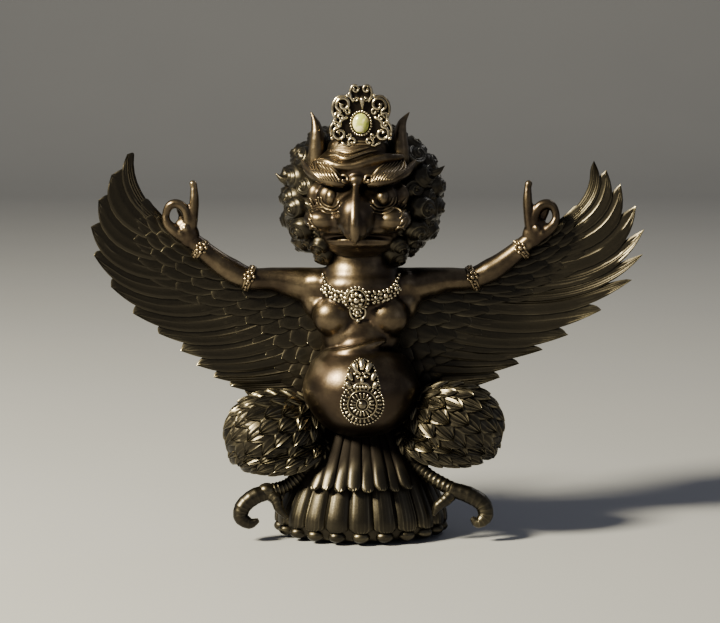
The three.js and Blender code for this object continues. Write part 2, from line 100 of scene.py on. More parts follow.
back_off = Vector((0, -math.cos(CAMERA_ELEVATION), math.sin(CAMERA_ELEVATION))) * CAMERA_DISTANCE
bpy.ops.object.camera_add(location=AIM + back_off, rotation=(math.pi / 2 - CAMERA_ELEVATION, 0, 0))
camera = bpy.context.object
camera.data.sensor_width = SENSOR_WIDTH
camera.data.lens = FOCAL_PIXELS / PHOTO_WIDTH * SENSOR_WIDTH
camera.data.clip_start = NEAR_CLIP
bpy.context.scene.camera = camera
print("lens in mm:", round(camera.data.lens, 1))

# %% [markdown]
# ## Light and floor
#
# Dark metal shows what it reflects. One round lamp from the upper left gives the bright spots on belly,
# cheek and forearm. A weak one fills the right side, and a third draws a thin rim from behind. A pale floor
# that curves up far behind gives the even ground. It is a plane whose back edge is extruded and then
# rounded with a bevel.

# %% Add the floor
FLOOR_SIZE = 6.0
WALL_HEIGHT = 3.0
WALL_ROUND = 1.0


def only(*pieces):
    """Selects these objects and nothing else."""
    bpy.ops.object.select_all(action="DESELECT")
    for piece in pieces:
        piece.select_set(True)
    bpy.context.view_layer.objects.active = pieces[0]


def pick(piece, kind, wanted):
    """In edit mode, selects the vertices, edges or faces for which wanted(element) is true."""
    bpy.ops.mesh.select_mode(type={"vertices": "VERT", "edges": "EDGE", "polygons": "FACE"}[kind])
    bpy.ops.mesh.select_all(action="DESELECT")
    bpy.ops.object.mode_set(mode="OBJECT")
    for element in getattr(piece.data, kind):
        element.select = wanted(element)
    bpy.ops.object.mode_set(mode="EDIT")


def edge_middle(piece, edge):
    first, second = (piece.data.vertices[i].co for i in edge.vertices)
    return (first + second) / 2


bpy.ops.object.select_all(action="DESELECT")
bpy.ops.mesh.primitive_plane_add(size=FLOOR_SIZE)
floor = bpy.context.object
floor.name = "floor"
bpy.ops.object.mode_set(mode="EDIT")
pick(floor, "edges", lambda edge: edge_middle(floor, edge).y > FLOOR_SIZE / 2 - 0.01)
bpy.ops.mesh.extrude_region_move(TRANSFORM_OT_translate={"value": (0, 0, WALL_HEIGHT)})
pick(floor, "edges", lambda edge: (edge_middle(floor, edge) - Vector((0, FLOOR_SIZE / 2, 0))).length < 0.01)
bpy.ops.mesh.bevel(offset=WALL_ROUND, segments=12)
bpy.ops.object.mode_set(mode="OBJECT")
bpy.ops.object.shade_smooth()
print("corners of the floor:", len(floor.data.vertices))

# %% Add the lamps
LAMPS = {
    "key": {"place": (-1.0, -0.62, 0.95), "size": 0.32, "power": 152.0, "colour": (1.0, 0.90, 0.60)},
    "fill": {"place": (1.2, -1.1, 0.5), "size": 0.8, "power": 0.7, "colour": (0.90, 0.94, 1.0)},
    "rim": {"place": (0.9, 1.0, 1.2), "size": 0.5, "power": 3.0, "colour": (0.95, 0.97, 1.0)},
}
LAMP_AIM = Vector((0, 0, 0.1))
ROOM_COLOUR = (0.76, 0.78, 0.84, 1)
ROOM_STRENGTH = 0.32

for name, lamp in LAMPS.items():
    place = Vector(lamp["place"])
    turn = (LAMP_AIM - place).to_track_quat("-Z", "Y").to_euler()
    bpy.ops.object.light_add(type="AREA", location=place, rotation=turn)
    light = bpy.context.object
    light.name = name
    light.data.shape = "DISK"
    light.data.size = lamp["size"]
    light.data.energy = lamp["power"]
    light.data.color = lamp["colour"]

world = bpy.data.worlds.new("studio")
world.use_nodes = True
background = world.node_tree.nodes["Background"]
background.inputs["Color"].default_value = ROOM_COLOUR
background.inputs["Strength"].default_value = ROOM_STRENGTH
bpy.context.scene.world = world
print("lamps:", ", ".join(LAMPS))

# %% [markdown]
# ## Writing materials as sums
#
# A node material is easier to read as arithmetic. `Value` wraps one output of a node and turns Python's
# operators into Math nodes. `Finish` makes a material and adds any other node with its settings and inputs.

# %% Wrap the nodes


class Value:
    """A quantity that changes over a surface. Python's operators on it add Math nodes."""

    def __init__(self, finish, socket):
        self.finish = finish
        self.socket = socket

    def math(self, operation, *inputs):
        return self.finish.add("ShaderNodeMath", {"operation": operation}, dict(enumerate(inputs)))

    def __add__(self, other):
        return self.math("ADD", self, other)

    def __sub__(self, other):
        return self.math("SUBTRACT", self, other)

    def __rsub__(self, other):
        return self.math("SUBTRACT", other, self)

    def __mul__(self, other):
        return self.math("MULTIPLY", self, other)

    __radd__ = __add__
    __rmul__ = __mul__

    def rise(self, low, high):
        """0 below low, 1 above high, and a smooth step between them."""
        settings = {"interpolation_type": "SMOOTHSTEP"}
        return self.finish.add("ShaderNodeMapRange", settings, {0: self, 1: low, 2: high})


class Finish:
    """A material under construction."""

    def __init__(self, name):
        self.material = bpy.data.materials.new(name)
        self.material.use_nodes = True
        self.tree = self.material.node_tree
        self.shader = self.tree.nodes["Principled BSDF"]
        self.place = self.add("ShaderNodeTexCoord", {}, {}, "Object")

    def add(self, kind, settings, inputs, output=0):
        node = self.tree.nodes.new(kind)
        for name, setting in settings.items():
            setattr(node, name, setting)
        for name, value in inputs.items():
            self.feed(node.inputs[name], value)
        return Value(self, node.outputs[output])

    def feed(self, socket, value):
        if isinstance(value, Value):
            self.tree.links.new(value.socket, socket)
        else:
            socket.default_value = value

    def noise(self, scale, detail=3.0, roughness=0.5):
        inputs = {"Vector": self.place, "Scale": scale, "Detail": detail, "Roughness": roughness}
        return self.add("ShaderNodeTexNoise", {}, inputs)

    def blend(self, share, first, second):
        """Mixes two colours by a share."""
        return self.add("ShaderNodeMix", {"data_type": "RGBA"}, {0: share, 6: first, 7: second}, 2)

    def attribute(self, name):
        return self.add("ShaderNodeAttribute", {"attribute_name": name}, {}, "Fac")

    def bump(self, height, strength, distance):
        inputs = {"Height": height, "Strength": strength, "Distance": distance}
        return self.add("ShaderNodeBump", {}, inputs)

    def surface(self, **inputs):
        for name, value in inputs.items():
            self.feed(self.shader.inputs[name.replace("_", " ")], value)
        return self.material


print("tools of a finish:", [name for name in vars(Finish) if name[0] != "_"])

# %% [markdown]
# ## Antiqued bronze
#
# The figure was darkened with a patina and then rubbed back, so the metal is bright where a cloth reaches and
# brown-black in every hollow. Two values that are measured on the finished mesh steer this: `rub` is high on
# ridges, and `patina_and_shade` is high where little light gets in. It turns the colour to near-black soot,
# which is partly the patina of the hollows and partly painted shade. The same recipe serves four finishes:
# warm smooth skin, greener and duller plumage, the paler, well-rubbed jewellery, and the nearly black ground
# behind its open work, which is patina and painted shade in one.

# %% Mix the bronzes


def rgb(red, green, blue):
    return (red, green, blue, 1)


# Near-black soot: the dark patina of the hollows, and painted shade there as well.
SOOT_AND_SHADE = rgb(0.012, 0.010, 0.009)


def bronze(name, patina, metal, start, full, gloss):
    """Bronze that turns from patina to bare metal as rub goes from start to full."""
    finish = Finish(name)
    clouds = finish.noise(55.0, 4.0, 0.6)
    grain = finish.noise(1400.0, 2.0)
    rubbed = (finish.attribute("rub") + (clouds - 0.5) * 0.5 + (grain - 0.5) * 0.04).rise(start, full)
    # Share of soot, high in hollows: dark patina and painted shade where little light gets in.
    soot_and_shade = (finish.attribute("patina_and_shade") + (clouds - 0.5) * 0.25).rise(0.35, 0.85)
    toned = finish.blend(rubbed, patina, metal)
    colour = finish.blend(soot_and_shade, toned, SOOT_AND_SHADE)
    roughness = gloss - rubbed * 0.1 + soot_and_shade * 0.4 + (grain - 0.5) * 0.12 + (clouds - 0.5) * 0.1
    height = grain * 0.6 + clouds * 0.4
    return finish.surface(
        Base_Color=colour,
        Metallic=1.0,
        Roughness=roughness,
        Normal=finish.bump(height, 0.14, 0.0003),
    )


skin_bronze = bronze("bronze_skin", rgb(0.038, 0.028, 0.021), rgb(0.31, 0.24, 0.15), 0.52, 0.95, 0.33)
plume_bronze = bronze("bronze_plumage", rgb(0.032, 0.028, 0.022), rgb(0.19, 0.165, 0.11), 0.56, 1.0, 0.34)
trim_bronze = bronze("bronze_jewellery", rgb(0.045, 0.036, 0.026), rgb(0.60, 0.52, 0.37), 0.52, 0.84, 0.27)
# The nearly black ground is patina and painted shade behind the open work.
ground_patina_and_shade = bronze("bronze_ground_and_shade", rgb(0.016, 0.013, 0.011), rgb(0.07, 0.06, 0.045), 0.6, 1.0, 0.42)
print("nodes in one bronze:", len(skin_bronze.node_tree.nodes))

# %% [markdown]
# ## The stone
#
# The cabochon is cream with yellow-green clouds and a soft polish. It is opaque, so its depth is suggested by
# the clouds and a clear coat.

# %% Mix the stone and the floor


def cloudy_stone():
    finish = Finish("pale_stone")
    clouds = finish.noise(300.0, 4.0, 0.6).rise(0.46, 0.58)
    specks = finish.noise(1500.0, 2.0).rise(0.62, 0.72)
    cream = finish.blend(clouds, rgb(0.48, 0.45, 0.24), rgb(0.25, 0.28, 0.045))
    colour = finish.blend(specks * 0.5, cream, rgb(0.30, 0.26, 0.12))
    return finish.surface(Base_Color=colour, Roughness=0.32, Coat_Weight=0.6, Coat_Roughness=0.12)


def pale_floor():
    finish = Finish("pale_floor")
    clouds = finish.noise(6.0, 3.0)
    colour = finish.blend(clouds, rgb(0.178, 0.184, 0.214), rgb(0.190, 0.196, 0.226))
    return finish.surface(Base_Color=colour, Roughness=0.75)


stone_finish = cloudy_stone()
floor.data.materials.append(pale_floor())
print("nodes in the stone:", len(stone_finish.node_tree.nodes))

# %% [markdown]
# ## Clay: balls and rods
#
# The smooth flesh is built as a sculptor builds wax, from balls and rods pressed into each other. A ball is a
# stretched sphere. A rod is a curve through a few points with its own thickness at each, turned into a mesh.
# A voxel remesh then melts them into one skin, and a smoothing pass takes the seams away.

# %% Make the clay tools
SAME_PLACE = 1e-6


def at(x, y, z):
    return Vector((x, y, z)) * U


def settle(piece):
    """Puts a piece's place, turn and size into its mesh."""
    only(piece)
    bpy.ops.object.transform_apply(location=True, rotation=True, scale=True)
    return piece


def ball(centre, radii, roll=0.0, pitch=0.0, segments=28, rings=16):
    """A stretched sphere, tipped forward by a pitch and rolled about the viewing axis."""
    bpy.ops.object.select_all(action="DESELECT")
    bpy.ops.mesh.primitive_uv_sphere_add(
        segments=segments, ring_count=rings, radius=1, location=at(*centre), rotation=(pitch, roll, 0))
    piece = bpy.context.object
    piece.scale = Vector(radii) * U
    bpy.ops.object.shade_smooth()
    return settle(piece)


def rod(points, radii, sides=4, steps=4, closed=False):
    """A round rod through points, in hundredths, with a radius at each of them."""
    bpy.ops.object.select_all(action="DESELECT")
    bpy.ops.curve.primitive_bezier_curve_add(location=(0, 0, 0))
    piece = bpy.context.object
    bpy.ops.object.mode_set(mode="EDIT")
    bpy.ops.curve.select_all(action="SELECT")
    bpy.ops.curve.delete(type="VERT")
    for point in points:
        bpy.ops.curve.vertex_add(location=at(*point))
    bpy.ops.curve.select_all(action="SELECT")
    bpy.ops.curve.handle_type_set(type="AUTOMATIC")
    if closed:
        bpy.ops.curve.cyclic_toggle()
    bpy.ops.object.mode_set(mode="OBJECT")
    for knot, radius in zip(piece.data.splines[0].bezier_points, radii):
        knot.radius = radius
    piece.data.bevel_depth = U
    piece.data.bevel_resolution = sides // 2 - 1
    piece.data.resolution_u = steps
    piece.data.use_fill_caps = not closed
    bpy.ops.object.convert(target="MESH")
    piece = edit_all(bpy.context.object, lambda: bpy.ops.mesh.remove_doubles(threshold=SAME_PLACE))
    bpy.ops.object.shade_smooth()
    return face_out(piece)


def mirror(side, points):
    return [(side * x, y, z) for x, y, z in points]


def finish_with(piece, kind, **settings):
    """Adds a modifier, sets it and applies it."""
    only(piece)
    modifier = piece.modifiers.new(kind.lower(), kind)
    for name, setting in settings.items():
        setattr(modifier, name, setting)
    bpy.ops.object.modifier_apply(modifier=modifier.name)
    return piece


def join(pieces, name):
    only(*pieces)
    if len(pieces) > 1:
        bpy.ops.object.join()
    piece = bpy.context.object
    piece.name = name
    return piece


def melt(pieces, name, voxel, passes):
    """Joins pieces into one skin of voxels, and smooths it."""
    piece = join(pieces, name)
    finish_with(piece, "REMESH", mode="VOXEL", voxel_size=voxel, use_smooth_shade=True)
    if passes:
        finish_with(piece, "SMOOTH", factor=0.5, iterations=passes)
    return piece


def edit_all(piece, *steps):
    """Runs steps of edit mode on the whole of a piece."""
    only(piece)
    bpy.ops.object.mode_set(mode="EDIT")
    bpy.ops.mesh.select_all(action="SELECT")
    for step in steps:
        step()
    bpy.ops.object.mode_set(mode="OBJECT")
    return piece


def face_out(piece):
    return edit_all(piece, lambda: bpy.ops.mesh.normals_make_consistent(inside=False))


def reshape(piece, where):
    """Moves each corner of a piece to where(x, y, z), a place in metres."""
    for vertex in piece.data.vertices:
        vertex.co = where(*vertex.co)
    return piece


def wear(piece, material):
    """Gives a piece its only material."""
    piece.data.materials.clear()
    piece.data.materials.append(material)


def triangles(piece):
    return sum(len(polygon.vertices) - 2 for polygon in piece.data.polygons)


print("one hundredth of the height in mm:", round(U / MM, 2))

# %% [markdown]
# ## Flesh
#
# Arms, chest, waist, belly and neck are bare skin. Their balls and rods are those of the solid, so the flesh
# fills the same outline. The thighs and the folded calves are smooth balls too, under their feathers.

# %% Model the body
BELLY = {"centre": (0, -6, 33.2), "radii": (12.8, 11.7, 10.5)}
ELBOW = (24.6, -0.8, 57.2)
WRIST = (35.2, -1.8, 63.7)
LEG_SHIFT = {-1: (0.0, 0.0), 1: (1.3, 1.8)}
THIGH = {"centre": (19.2, -6, 24.2), "radii": (10.2, 8.5, 8.1)}
CALF = {"centre": (17.6, -6, 19.6), "radii": (10.7, 7.1, 4.4)}


def torso():
    pieces = [
        ball((0, -1, 51), (9.6, 6.4, 8.8)),
        ball((0, -2.0, 44.6), (8.9, 6.9, 6)),
        ball((0.5, -6.3, 43.7), (5.6, 3.6, 1.7), roll=-0.12),
        rod([(-8.4, -5.2, 41.3), (-6.8, -8.2, 41.6), (-3.8, -10.7, 42.0),
             (-0.6, -11.3, 42.8), (2.6, -10.6, 43.7), (5.6, -8.4, 44.4)],
            [0.4, 0.85, 1.1, 1.1, 0.9, 0.3], sides=12),
        ball(BELLY["centre"], BELLY["radii"], segments=48, rings=32),
        ball((0, -5.4, 36.6), (11.7, 10.7, 7.0), segments=48, rings=32),
        ball((0, 0.5, 28), (12.3, 8, 12)),
        ball((0, -1.5, 61), (7.2, 6.2, 8.0)),
        ball((0, -2.6, 55.6), (9.2, 7.3, 5.2)),
        ball((0, -1.9, 58.4), (8.0, 6.5, 5.4)),
        ball((0, 0.6, 40), (9.2, 6.4, 6.5)),
    ]
    for side in SIDES:
        pieces.append(ball((side * 6.0, -4.8, 49.1), (4.7, 4.0, 4.5)))
        pieces.append(ball((side * 8.6, -0.6, 56.2), (4.6, 4.2, 3.4)))
        pieces.append(ball((side * 9.4, -0.9, 51.4), (3.4, 3.6, 4.6), roll=side * 0.5))
    return pieces


def arm(side):
    path = [
        (4, 0.5, 54), (12, 0.2, 55.5), (18.5, -0.2, 56.7), ELBOW,
        (28.4, -1.1, 58.9), (32.2, -1.4, 61.5), (37.6, -2.1, 66.4)]
    return rod(mirror(side, path), [5.6, 4.1, 2.9, 2.45, 2.75, 2.4, 1.8], sides=12, steps=6)


body = melt(torso() + [arm(side) for side in SIDES], "body", 0.0009, 9)
wear(body, skin_bronze)
print("faces of the body:", len(body.data.polygons))

# %% [markdown]
# ## Hands
#
# Each raised hand shows its palm, one finger straight up and another that meets the thumb in a ring. The
# fingers are thin, so the hands are melted on their own with finer voxels and less smoothing.

# %% Find places on the skin
FORWARD = Vector((0, 1, 0))
FAR = 60
INWARDS = 0.97


def landing(piece):
    """Gives a function that finds the place on a piece in front of x and z, all in hundredths.

    Where x lies beyond the edge of the piece, it steps inwards until the piece is met.
    """
    corners = [vertex.co for vertex in piece.data.vertices]
    tree = BVHTree.FromPolygons(corners, [polygon.vertices for polygon in piece.data.polygons])

    def place(x, z, raised=0.0):
        hit, normal, _, _ = tree.ray_cast(at(x, -FAR, z), FORWARD)
        if hit is None:
            return place(x * INWARDS, z, raised)
        return tuple(hit / U + normal * raised)

    return place


print("a ray to find the skin starts at y in mm:", round(-FAR * U / MM))

# %% Model the hands


def hand(side):
    inner = 1.0 if side > 0 else 0.0  # the left hand's middle finger fills more of its ring
    fingers = [
        ([(37.2, -2.5, 68.2), (36.7, -2.7, 71.4), (36.4, -2.9, 74.8), (36.5, -2.6, 78.1)],
         [1.35, 1.2, 1.05, 0.75]),
        ([(37.8, -2.8, 69.6), (38.2, -3, 71.9), (39.3, -3.1, 73.4), (41.2, -3.1, 73.7), (42.4, -3, 72.3),
          (42.6, -3, 70.6)],
         [1.25, 1.05, 1.1, 1.05, 0.9, 0.8]),
        ([(38.8, -2.4, 66.6), (41.0, -3, 68.1), (42.4, -3.1, 69.7), (42.8, -3, 71.8)],
         [1.6, 1.35, 1.05, 0.7]),
        ([(38.0 + inner, -1.4, 69.4), (39.2 + inner, -1.6, 72.0), (40.0 + inner, -1.7, 73.6)],
         [1.2, 1.1, 0.8]),
    ]
    return [rod(mirror(side, path), radii, sides=10) for path, radii in fingers] + [
        ball((side * 38.1, -2.4, 67.4), (2.6, 1.6, 3.5), roll=side * 0.5),
        ball((side * 36.6, -2.3, 65.3), (1.7, 1.5, 2.2), roll=side * 0.6),
        ball((side * 38.6, -1.6, 70.4), (1.5, 1.2, 1.7)),
        ball((side * 36.6, -2.6, 78.0), (0.85, 0.85, 1.0), roll=side * 0.5),
        ball((side * 38.4, -3.6, 68.4), (0.8, 0.8, 0.9)),
        ball((side * 39.5, -3.6, 67.5), (0.8, 0.8, 0.9)),
    ]


hands = melt([piece for side in SIDES for piece in hand(side)], "hands", 0.00055, 2)
wear(hands, skin_bronze)
print("faces of the hands:", len(hands.data.polygons))

# %% [markdown]
# ## Laying a flat form on a curved one
#
# Feathers, flutes and leaves repeat many times on surfaces that bend. Each kind is modelled once, lying flat
# in a square from -1 to 1, and `lay` then puts a copy of it on its surface, by working out for every corner
# where that place of the square lies.

# %% Lay copies of a flat form


def lay(flat, where):
    """Puts a copy of a flat form, with its own mesh, on a surface."""
    twin = flat.copy()
    twin.data = flat.data.copy()
    bpy.context.collection.objects.link(twin)
    return reshape(twin, where)


def write_attribute(piece, name, values):
    attribute = piece.data.attributes.new(name, "FLOAT", "POINT")
    attribute.data.foreach_set("value", np.asarray(values, dtype=np.float32))


def read_attribute(piece, name):
    values = np.empty(len(piece.data.vertices), dtype=np.float32)
    piece.data.attributes[name].data.foreach_get("value", values)
    return values


def through(points, share):
    """The vector at a share of the smooth curve through points."""
    place = min(max(share, 0), 1) * (len(points) - 1)
    i = min(int(place), len(points) - 2)
    t = place - i
    second, third = points[i], points[i + 1]
    first = points[i - 1] if i > 0 else 2 * second - third
    fourth = points[i + 2] if i + 2 < len(points) else 2 * third - second
    pairs = ((first, second), (second, third), (third, fourth))
    d0, d1, d2 = (max((b - a).length ** 0.5, 1e-4) for a, b in pairs)
    leave = ((second - first) / d0 - (third - first) / (d0 + d1) + (third - second) / d1) * d1
    arrive = ((third - second) / d1 - (fourth - second) / (d1 + d2) + (fourth - third) / d2) * d1
    rising = t * t * (3 - 2 * t)
    return second * (1 - rising) + third * rising + leave * t * (1 - t) ** 2 - arrive * t * t * (1 - t)


def along(values, share):
    """The value at a share of an evenly spaced list, joined by straight lines."""
    place = min(max(share, 0), 1) * (len(values) - 1)
    i = min(int(place), len(values) - 2)
    return values[i] + (values[i + 1] - values[i]) * (place - i)


def gathered(share, crowding):
    """Rows stand closer together towards the tip, so that it is drawn smoothly."""
    return 1 - (1 - share) ** crowding


def tapered(start, power, least):
    """The half width of a form with straight sides up to start and a tapering tip."""
    return lambda share: 1.0 if share < start else max(least, 1 - ((share - start) / (1 - start)) ** power)


def rounded(start, least):
    """The half width of a form with straight sides up to start and a round tip."""
    return lambda share: max(least, math.sqrt(max(0, 1 - (max(0, share - start) / (1 - start)) ** 2)))


def flat_feather(name, columns, rows, half_width, relief, rim=0.3, crowding=1):
    """A feather that lies flat from y -1 at its root to 1 at its tip, ribbed above and below."""
    bpy.ops.object.select_all(action="DESELECT")
    bpy.ops.mesh.primitive_grid_add(x_subdivisions=columns, y_subdivisions=rows, size=2)
    piece = bpy.context.object
    piece.name = name
    widths = [half_width(gathered(row / rows, crowding)) for row in range(rows + 1)]
    bpy.ops.object.mode_set(mode="EDIT")
    for row, width in enumerate(widths):
        y = 2 * row / rows - 1
        pick(piece, "vertices", lambda vertex: abs(vertex.co.y - y) < 0.01)
        bpy.ops.transform.resize(value=(width, 1, 1), center_override=(0, y, 0))
    bpy.ops.object.mode_set(mode="OBJECT")
    finish_with(piece, "SOLIDIFY", thickness=0.4, offset=0, use_even_offset=False)
    for vertex in piece.data.vertices:
        width = widths[round((vertex.co.y + 1) / 2 * rows)]
        across = abs(vertex.co.x) / max(width, 1e-3)
        up = 1 if vertex.co.z > 0 else -1
        vertex.co.z = up * along(relief, across) * (rim + (1 - rim) * min(1, width * 1.6))
    return face_out(piece)


def plumage(pieces, name):
    """Joins laid forms into one piece whose edges stay crisp."""
    piece = face_out(join(pieces, name))
    bpy.ops.object.shade_smooth_by_angle(angle=math.radians(50))
    wear(piece, plume_bronze)
    print("triangles of", name, triangles(piece))
    return piece


print("flat forms lie between y -1 and y 1")

# %% [markdown]
# ## Wings
#
# Each wing has thirteen long feathers that fan out from the arm, four rows of short rounded ones that cover
# their roots, and one more such row on the back. A long feather has a shaft down its middle and a groove or
# two on each side. Feathers overlap like roof tiles, which is why each is tilted a little. The roots follow
# the arm and the body, the tips follow the outline in the photograph, and the whole wing is cupped towards
# the viewer.

# %% Model the long feathers
WING_TIPS = {
    -1: [(49.2, 87.0), (56.5, 76.6), (59.2, 65.0), (52.1, 51.4), (41.4, 42.2), (34.1, 35.8), (26.5, 31.5)],
    1: [(49.8, 84.0), (56.2, 78.6), (61.8, 69.0), (60.2, 58.2), (46.8, 45.3), (35.9, 38.5), (27.4, 32.2)],
}
WING_ROOTS = [(38.5, 66), (34, 62), (25, 58), (15, 55), (9, 50), (7, 40), (9, 28)]
TIP_HEADINGS = [112, 96, 62, 32, 16, 12, 10]
TIP_GAPS = {-1: [0.16, 0.2, 0.22, 0.22, 0.2, 0.2, 0.18], 1: [0.2, 0.26, 0.3, 0.3, 0.25, 0.24, 0.24]}
TIP_LEAN = {-1: 0.62, 1: 0.3}  # how far the point of a tip lies towards the feather's lower edge
LONG_FEATHERS = 13
WING_ROOT_Y = 4.4 * MM / U
WING_CUP = 8.5 * MM / U


def flat_vectors(pairs):
    return [Vector((x, 0, z)) for x, z in pairs]


def wing_middle(side, a, b):
    """Middle surface of a wing at share a from its top feather down, and share b along the feather."""
    tip = through(flat_vectors(WING_TIPS[side]), a)
    root = through(flat_vectors(WING_ROOTS), a)
    heading = math.radians(along(TIP_HEADINGS, a))
    bend = tip - Vector((math.cos(heading), 0, math.sin(heading))) * (tip - root).length * 0.5
    p = root * (1 - b) ** 2 + bend * 2 * b * (1 - b) + tip * b * b
    p.y = WING_ROOT_Y - WING_CUP * max(0, (p.x - 10) / 51) ** 2
    return Vector((side * p.x, p.y, p.z)) * U


def wing_place(side, a, b, height):
    """A place over the wing, also a little beyond its first and last feather."""
    inside = min(max(a, 0.0), 1.0)
    p = wing_middle(side, inside, b)
    if a != inside:
        step = 0.04 if a > 1 else -0.04
        p = p + (p - wing_middle(side, inside - step, b)) * ((a - inside) / step)
    return p + Vector((0, -height, 0))


TAPER_START = 0.6
long_feather = flat_feather(
    "long_feather", 12, 15, tapered(TAPER_START, 1.6, 0.02), [1.0, 0.5, 0.78, 0.42, 0.72, 0.38, 0.12])
tip_shares = np.array([max(0, vertex.co.y - 0.1) / 0.9 for vertex in long_feather.data.vertices])
FEATHER_TILT = 1.1 * MM
LONG_RELIEF = 0.95 * MM
TIP_LIGHT_AND_SHADE = [-0.08, -0.08, -0.04, 0.12, 0.22, 0.22, 0.22]  # painted highlight on the low tips, painted shade on the high ones


def long_feathers(side):
    pieces = []
    for k in range(LONG_FEATHERS):
        middle = max(k, 0.25)
        spread = 0.4 if k == 0 else 0.62
        gap = along(TIP_GAPS[side], k / (LONG_FEATHERS - 1))

        def where(x, y, z):
            share = (y + 1) / 2
            past = max(0, share - TAPER_START) / (1 - TAPER_START)
            b = min(1, share / TAPER_START) * (1 - gap) + past * gap
            a = (middle + (x + TIP_LEAN[side] * past ** 1.3) * spread) / (LONG_FEATHERS - 1)
            slim = 1 - 0.45 * max(0, b - 0.3)
            height = FEATHER_TILT * (x * 0.5 + 0.5) * min(1, 2 * b + 0.2) + z * LONG_RELIEF * slim + 0.2 * MM
            return wing_place(side, a, b, height)

        feather = lay(long_feather, where)
        # The tip values paint a highlight on the low feathers' tips and shade on the high ones.
        write_attribute(feather, "tip", tip_shares * along(TIP_LIGHT_AND_SHADE, k / (LONG_FEATHERS - 1)))
        pieces.append(feather)
    return pieces


long_ones = [piece for side in SIDES for piece in long_feathers(side)]
print("long feathers:", len(long_ones))

# %% Cover their roots with short feathers
COVER_CROWDING = 1.5
short_feather = flat_feather(
    "short_feather", 8, 8, tapered(0.45, 2.6, 0.05), [1.0, 0.62, 0.72, 0.55, 0.2], crowding=COVER_CROWDING)
COVER_ROWS = [
    {"tip": 0.44, "root": 0.22, "count": 14, "lift": 1.15},
    {"tip": 0.34, "root": 0.14, "count": 14, "lift": 1.7},
    {"tip": 0.245, "root": 0.07, "count": 13, "lift": 2.2},
    {"tip": 0.155, "root": 0.0, "count": 13, "lift": 2.7},
]
BACK_ROW = {"tip": 0.4, "root": 0.05, "count": 13, "lift": -1.5}


def cover_row(side, order, row, face=1):
    """One row of short feathers. Face is 1 on the front of the wing and -1 on its back."""
    pieces = []
    for k in range(row["count"]):
        middle = (k + 0.25 + 0.5 * (order % 2)) / row["count"]

        def where(x, y, z):
            share = gathered((y + 1) / 2, COVER_CROWDING)
            b = row["root"] + (row["tip"] - row["root"]) * share * (1 + 0.06 * math.sin(5 * k + order))
            a = middle + x * 0.62 / row["count"]
            height = row["lift"] * MM * (0.55 + 0.45 * share) + face * z * 0.6 * MM + 0.35 * MM * x * face
            return wing_place(side, a, b, height)

        pieces.append(face_out(lay(short_feather, where)))
    return pieces


covers = []
for side in SIDES:
    for order, row in enumerate(COVER_ROWS):
        covers += cover_row(side, order, row)
for side in SIDES:
    covers += cover_row(side, 0, BACK_ROW, -1)
print("short feathers:", len(covers))

# %% Join the wings
wings = plumage(long_ones + covers, "garuda_wings")

# %% [markdown]
# ## Tail
#
# The tail is a skirt of fluted feathers round a full circle, which flares down to a scalloped rim and turns
# in to the flat underside. Each flute swells outwards, is finely lined, and ends in a small boss. In front,
# a bib of narrow feathers with round tips hangs over it from the belly. One flute is modelled flat, like a
# feather, and laid on the flaring surface twenty-one times. A turned core closes the inside and the
# underside.

# %% Model the skirt
FOOT = {"half_width": 33.5 * MM, "front": 27 * MM, "back": 22 * MM}
FAN_PROFILE = [(0.57, 25), (0.75, 19), (0.92, 13), (1.06, 8), (1.12, 5), (1.11, 2.2), (1.0, 0)]
FLUTES = 21
FLUTE_SWELL = [0.5, 0.8, 1.0, 1.1, 1.15, 1.1, 0.95]
ROUND_CROWDING = 1.9


def fan_place(angle, share, raised):
    """A place on the tail at a turn from the front and a share of the way down, raised outwards."""
    profile = through([Vector((spread, 0, z)) for spread, z in FAN_PROFILE], share)
    standing = FOOT["front"] if math.cos(angle) > 0 else FOOT["back"]
    return Vector((
        math.sin(angle) * (FOOT["half_width"] * profile.x + raised),
        -math.cos(angle) * (standing * profile.x + raised),
        max(0, profile.z) * U))


flute = flat_feather(
    "flute", 14, 18, rounded(0.9, 0.1), [1.0, 0.93, 0.98, 0.84, 0.86, 0.6, 0.5, 0.1], 0.4, ROUND_CROWDING)


def flutes():
    pieces = []
    for k in range(FLUTES):

        def where(x, y, z):
            share = gathered((y + 1) / 2, ROUND_CROWDING)
            angle = 2 * math.pi * (k + x * 0.53) / FLUTES
            outward = (z * 1.35 if z > 0 else z * 0.4) - 0.75
            return fan_place(angle, share * 0.8, outward * along(FLUTE_SWELL, share) * U)

        pieces.append(lay(flute, where))
    return pieces


skirt = flutes()

bpy.ops.object.select_all(action="DESELECT")
bpy.ops.mesh.primitive_uv_sphere_add(segments=42, ring_count=14, radius=1)
core = bpy.context.object


def core_place(x, y, z):
    place = fan_place(math.atan2(x, -y), math.acos(min(1, max(-1, z))) / math.pi, -0.55 * U)
    return Vector((0, 0, place.z)) if math.hypot(x, y) < 0.001 else place


skirt.append(reshape(core, core_place))
print("flutes:", FLUTES)

# %% Add a boss at the end of each flute and the bib
for k in range(FLUTES):
    place = fan_place(2 * math.pi * k / FLUTES, 0.855, -0.85 * U) / U
    skirt.append(ball(place, (2.05, 1.7, 1.35), segments=18, rings=12))

BIB_FEATHERS = 8
bib_feather = flat_feather(
    "bib_feather", 10, 14, rounded(0.86, 0.08), [1.0, 0.86, 0.94, 0.74, 0.66, 0.2], 0.35, ROUND_CROWDING)


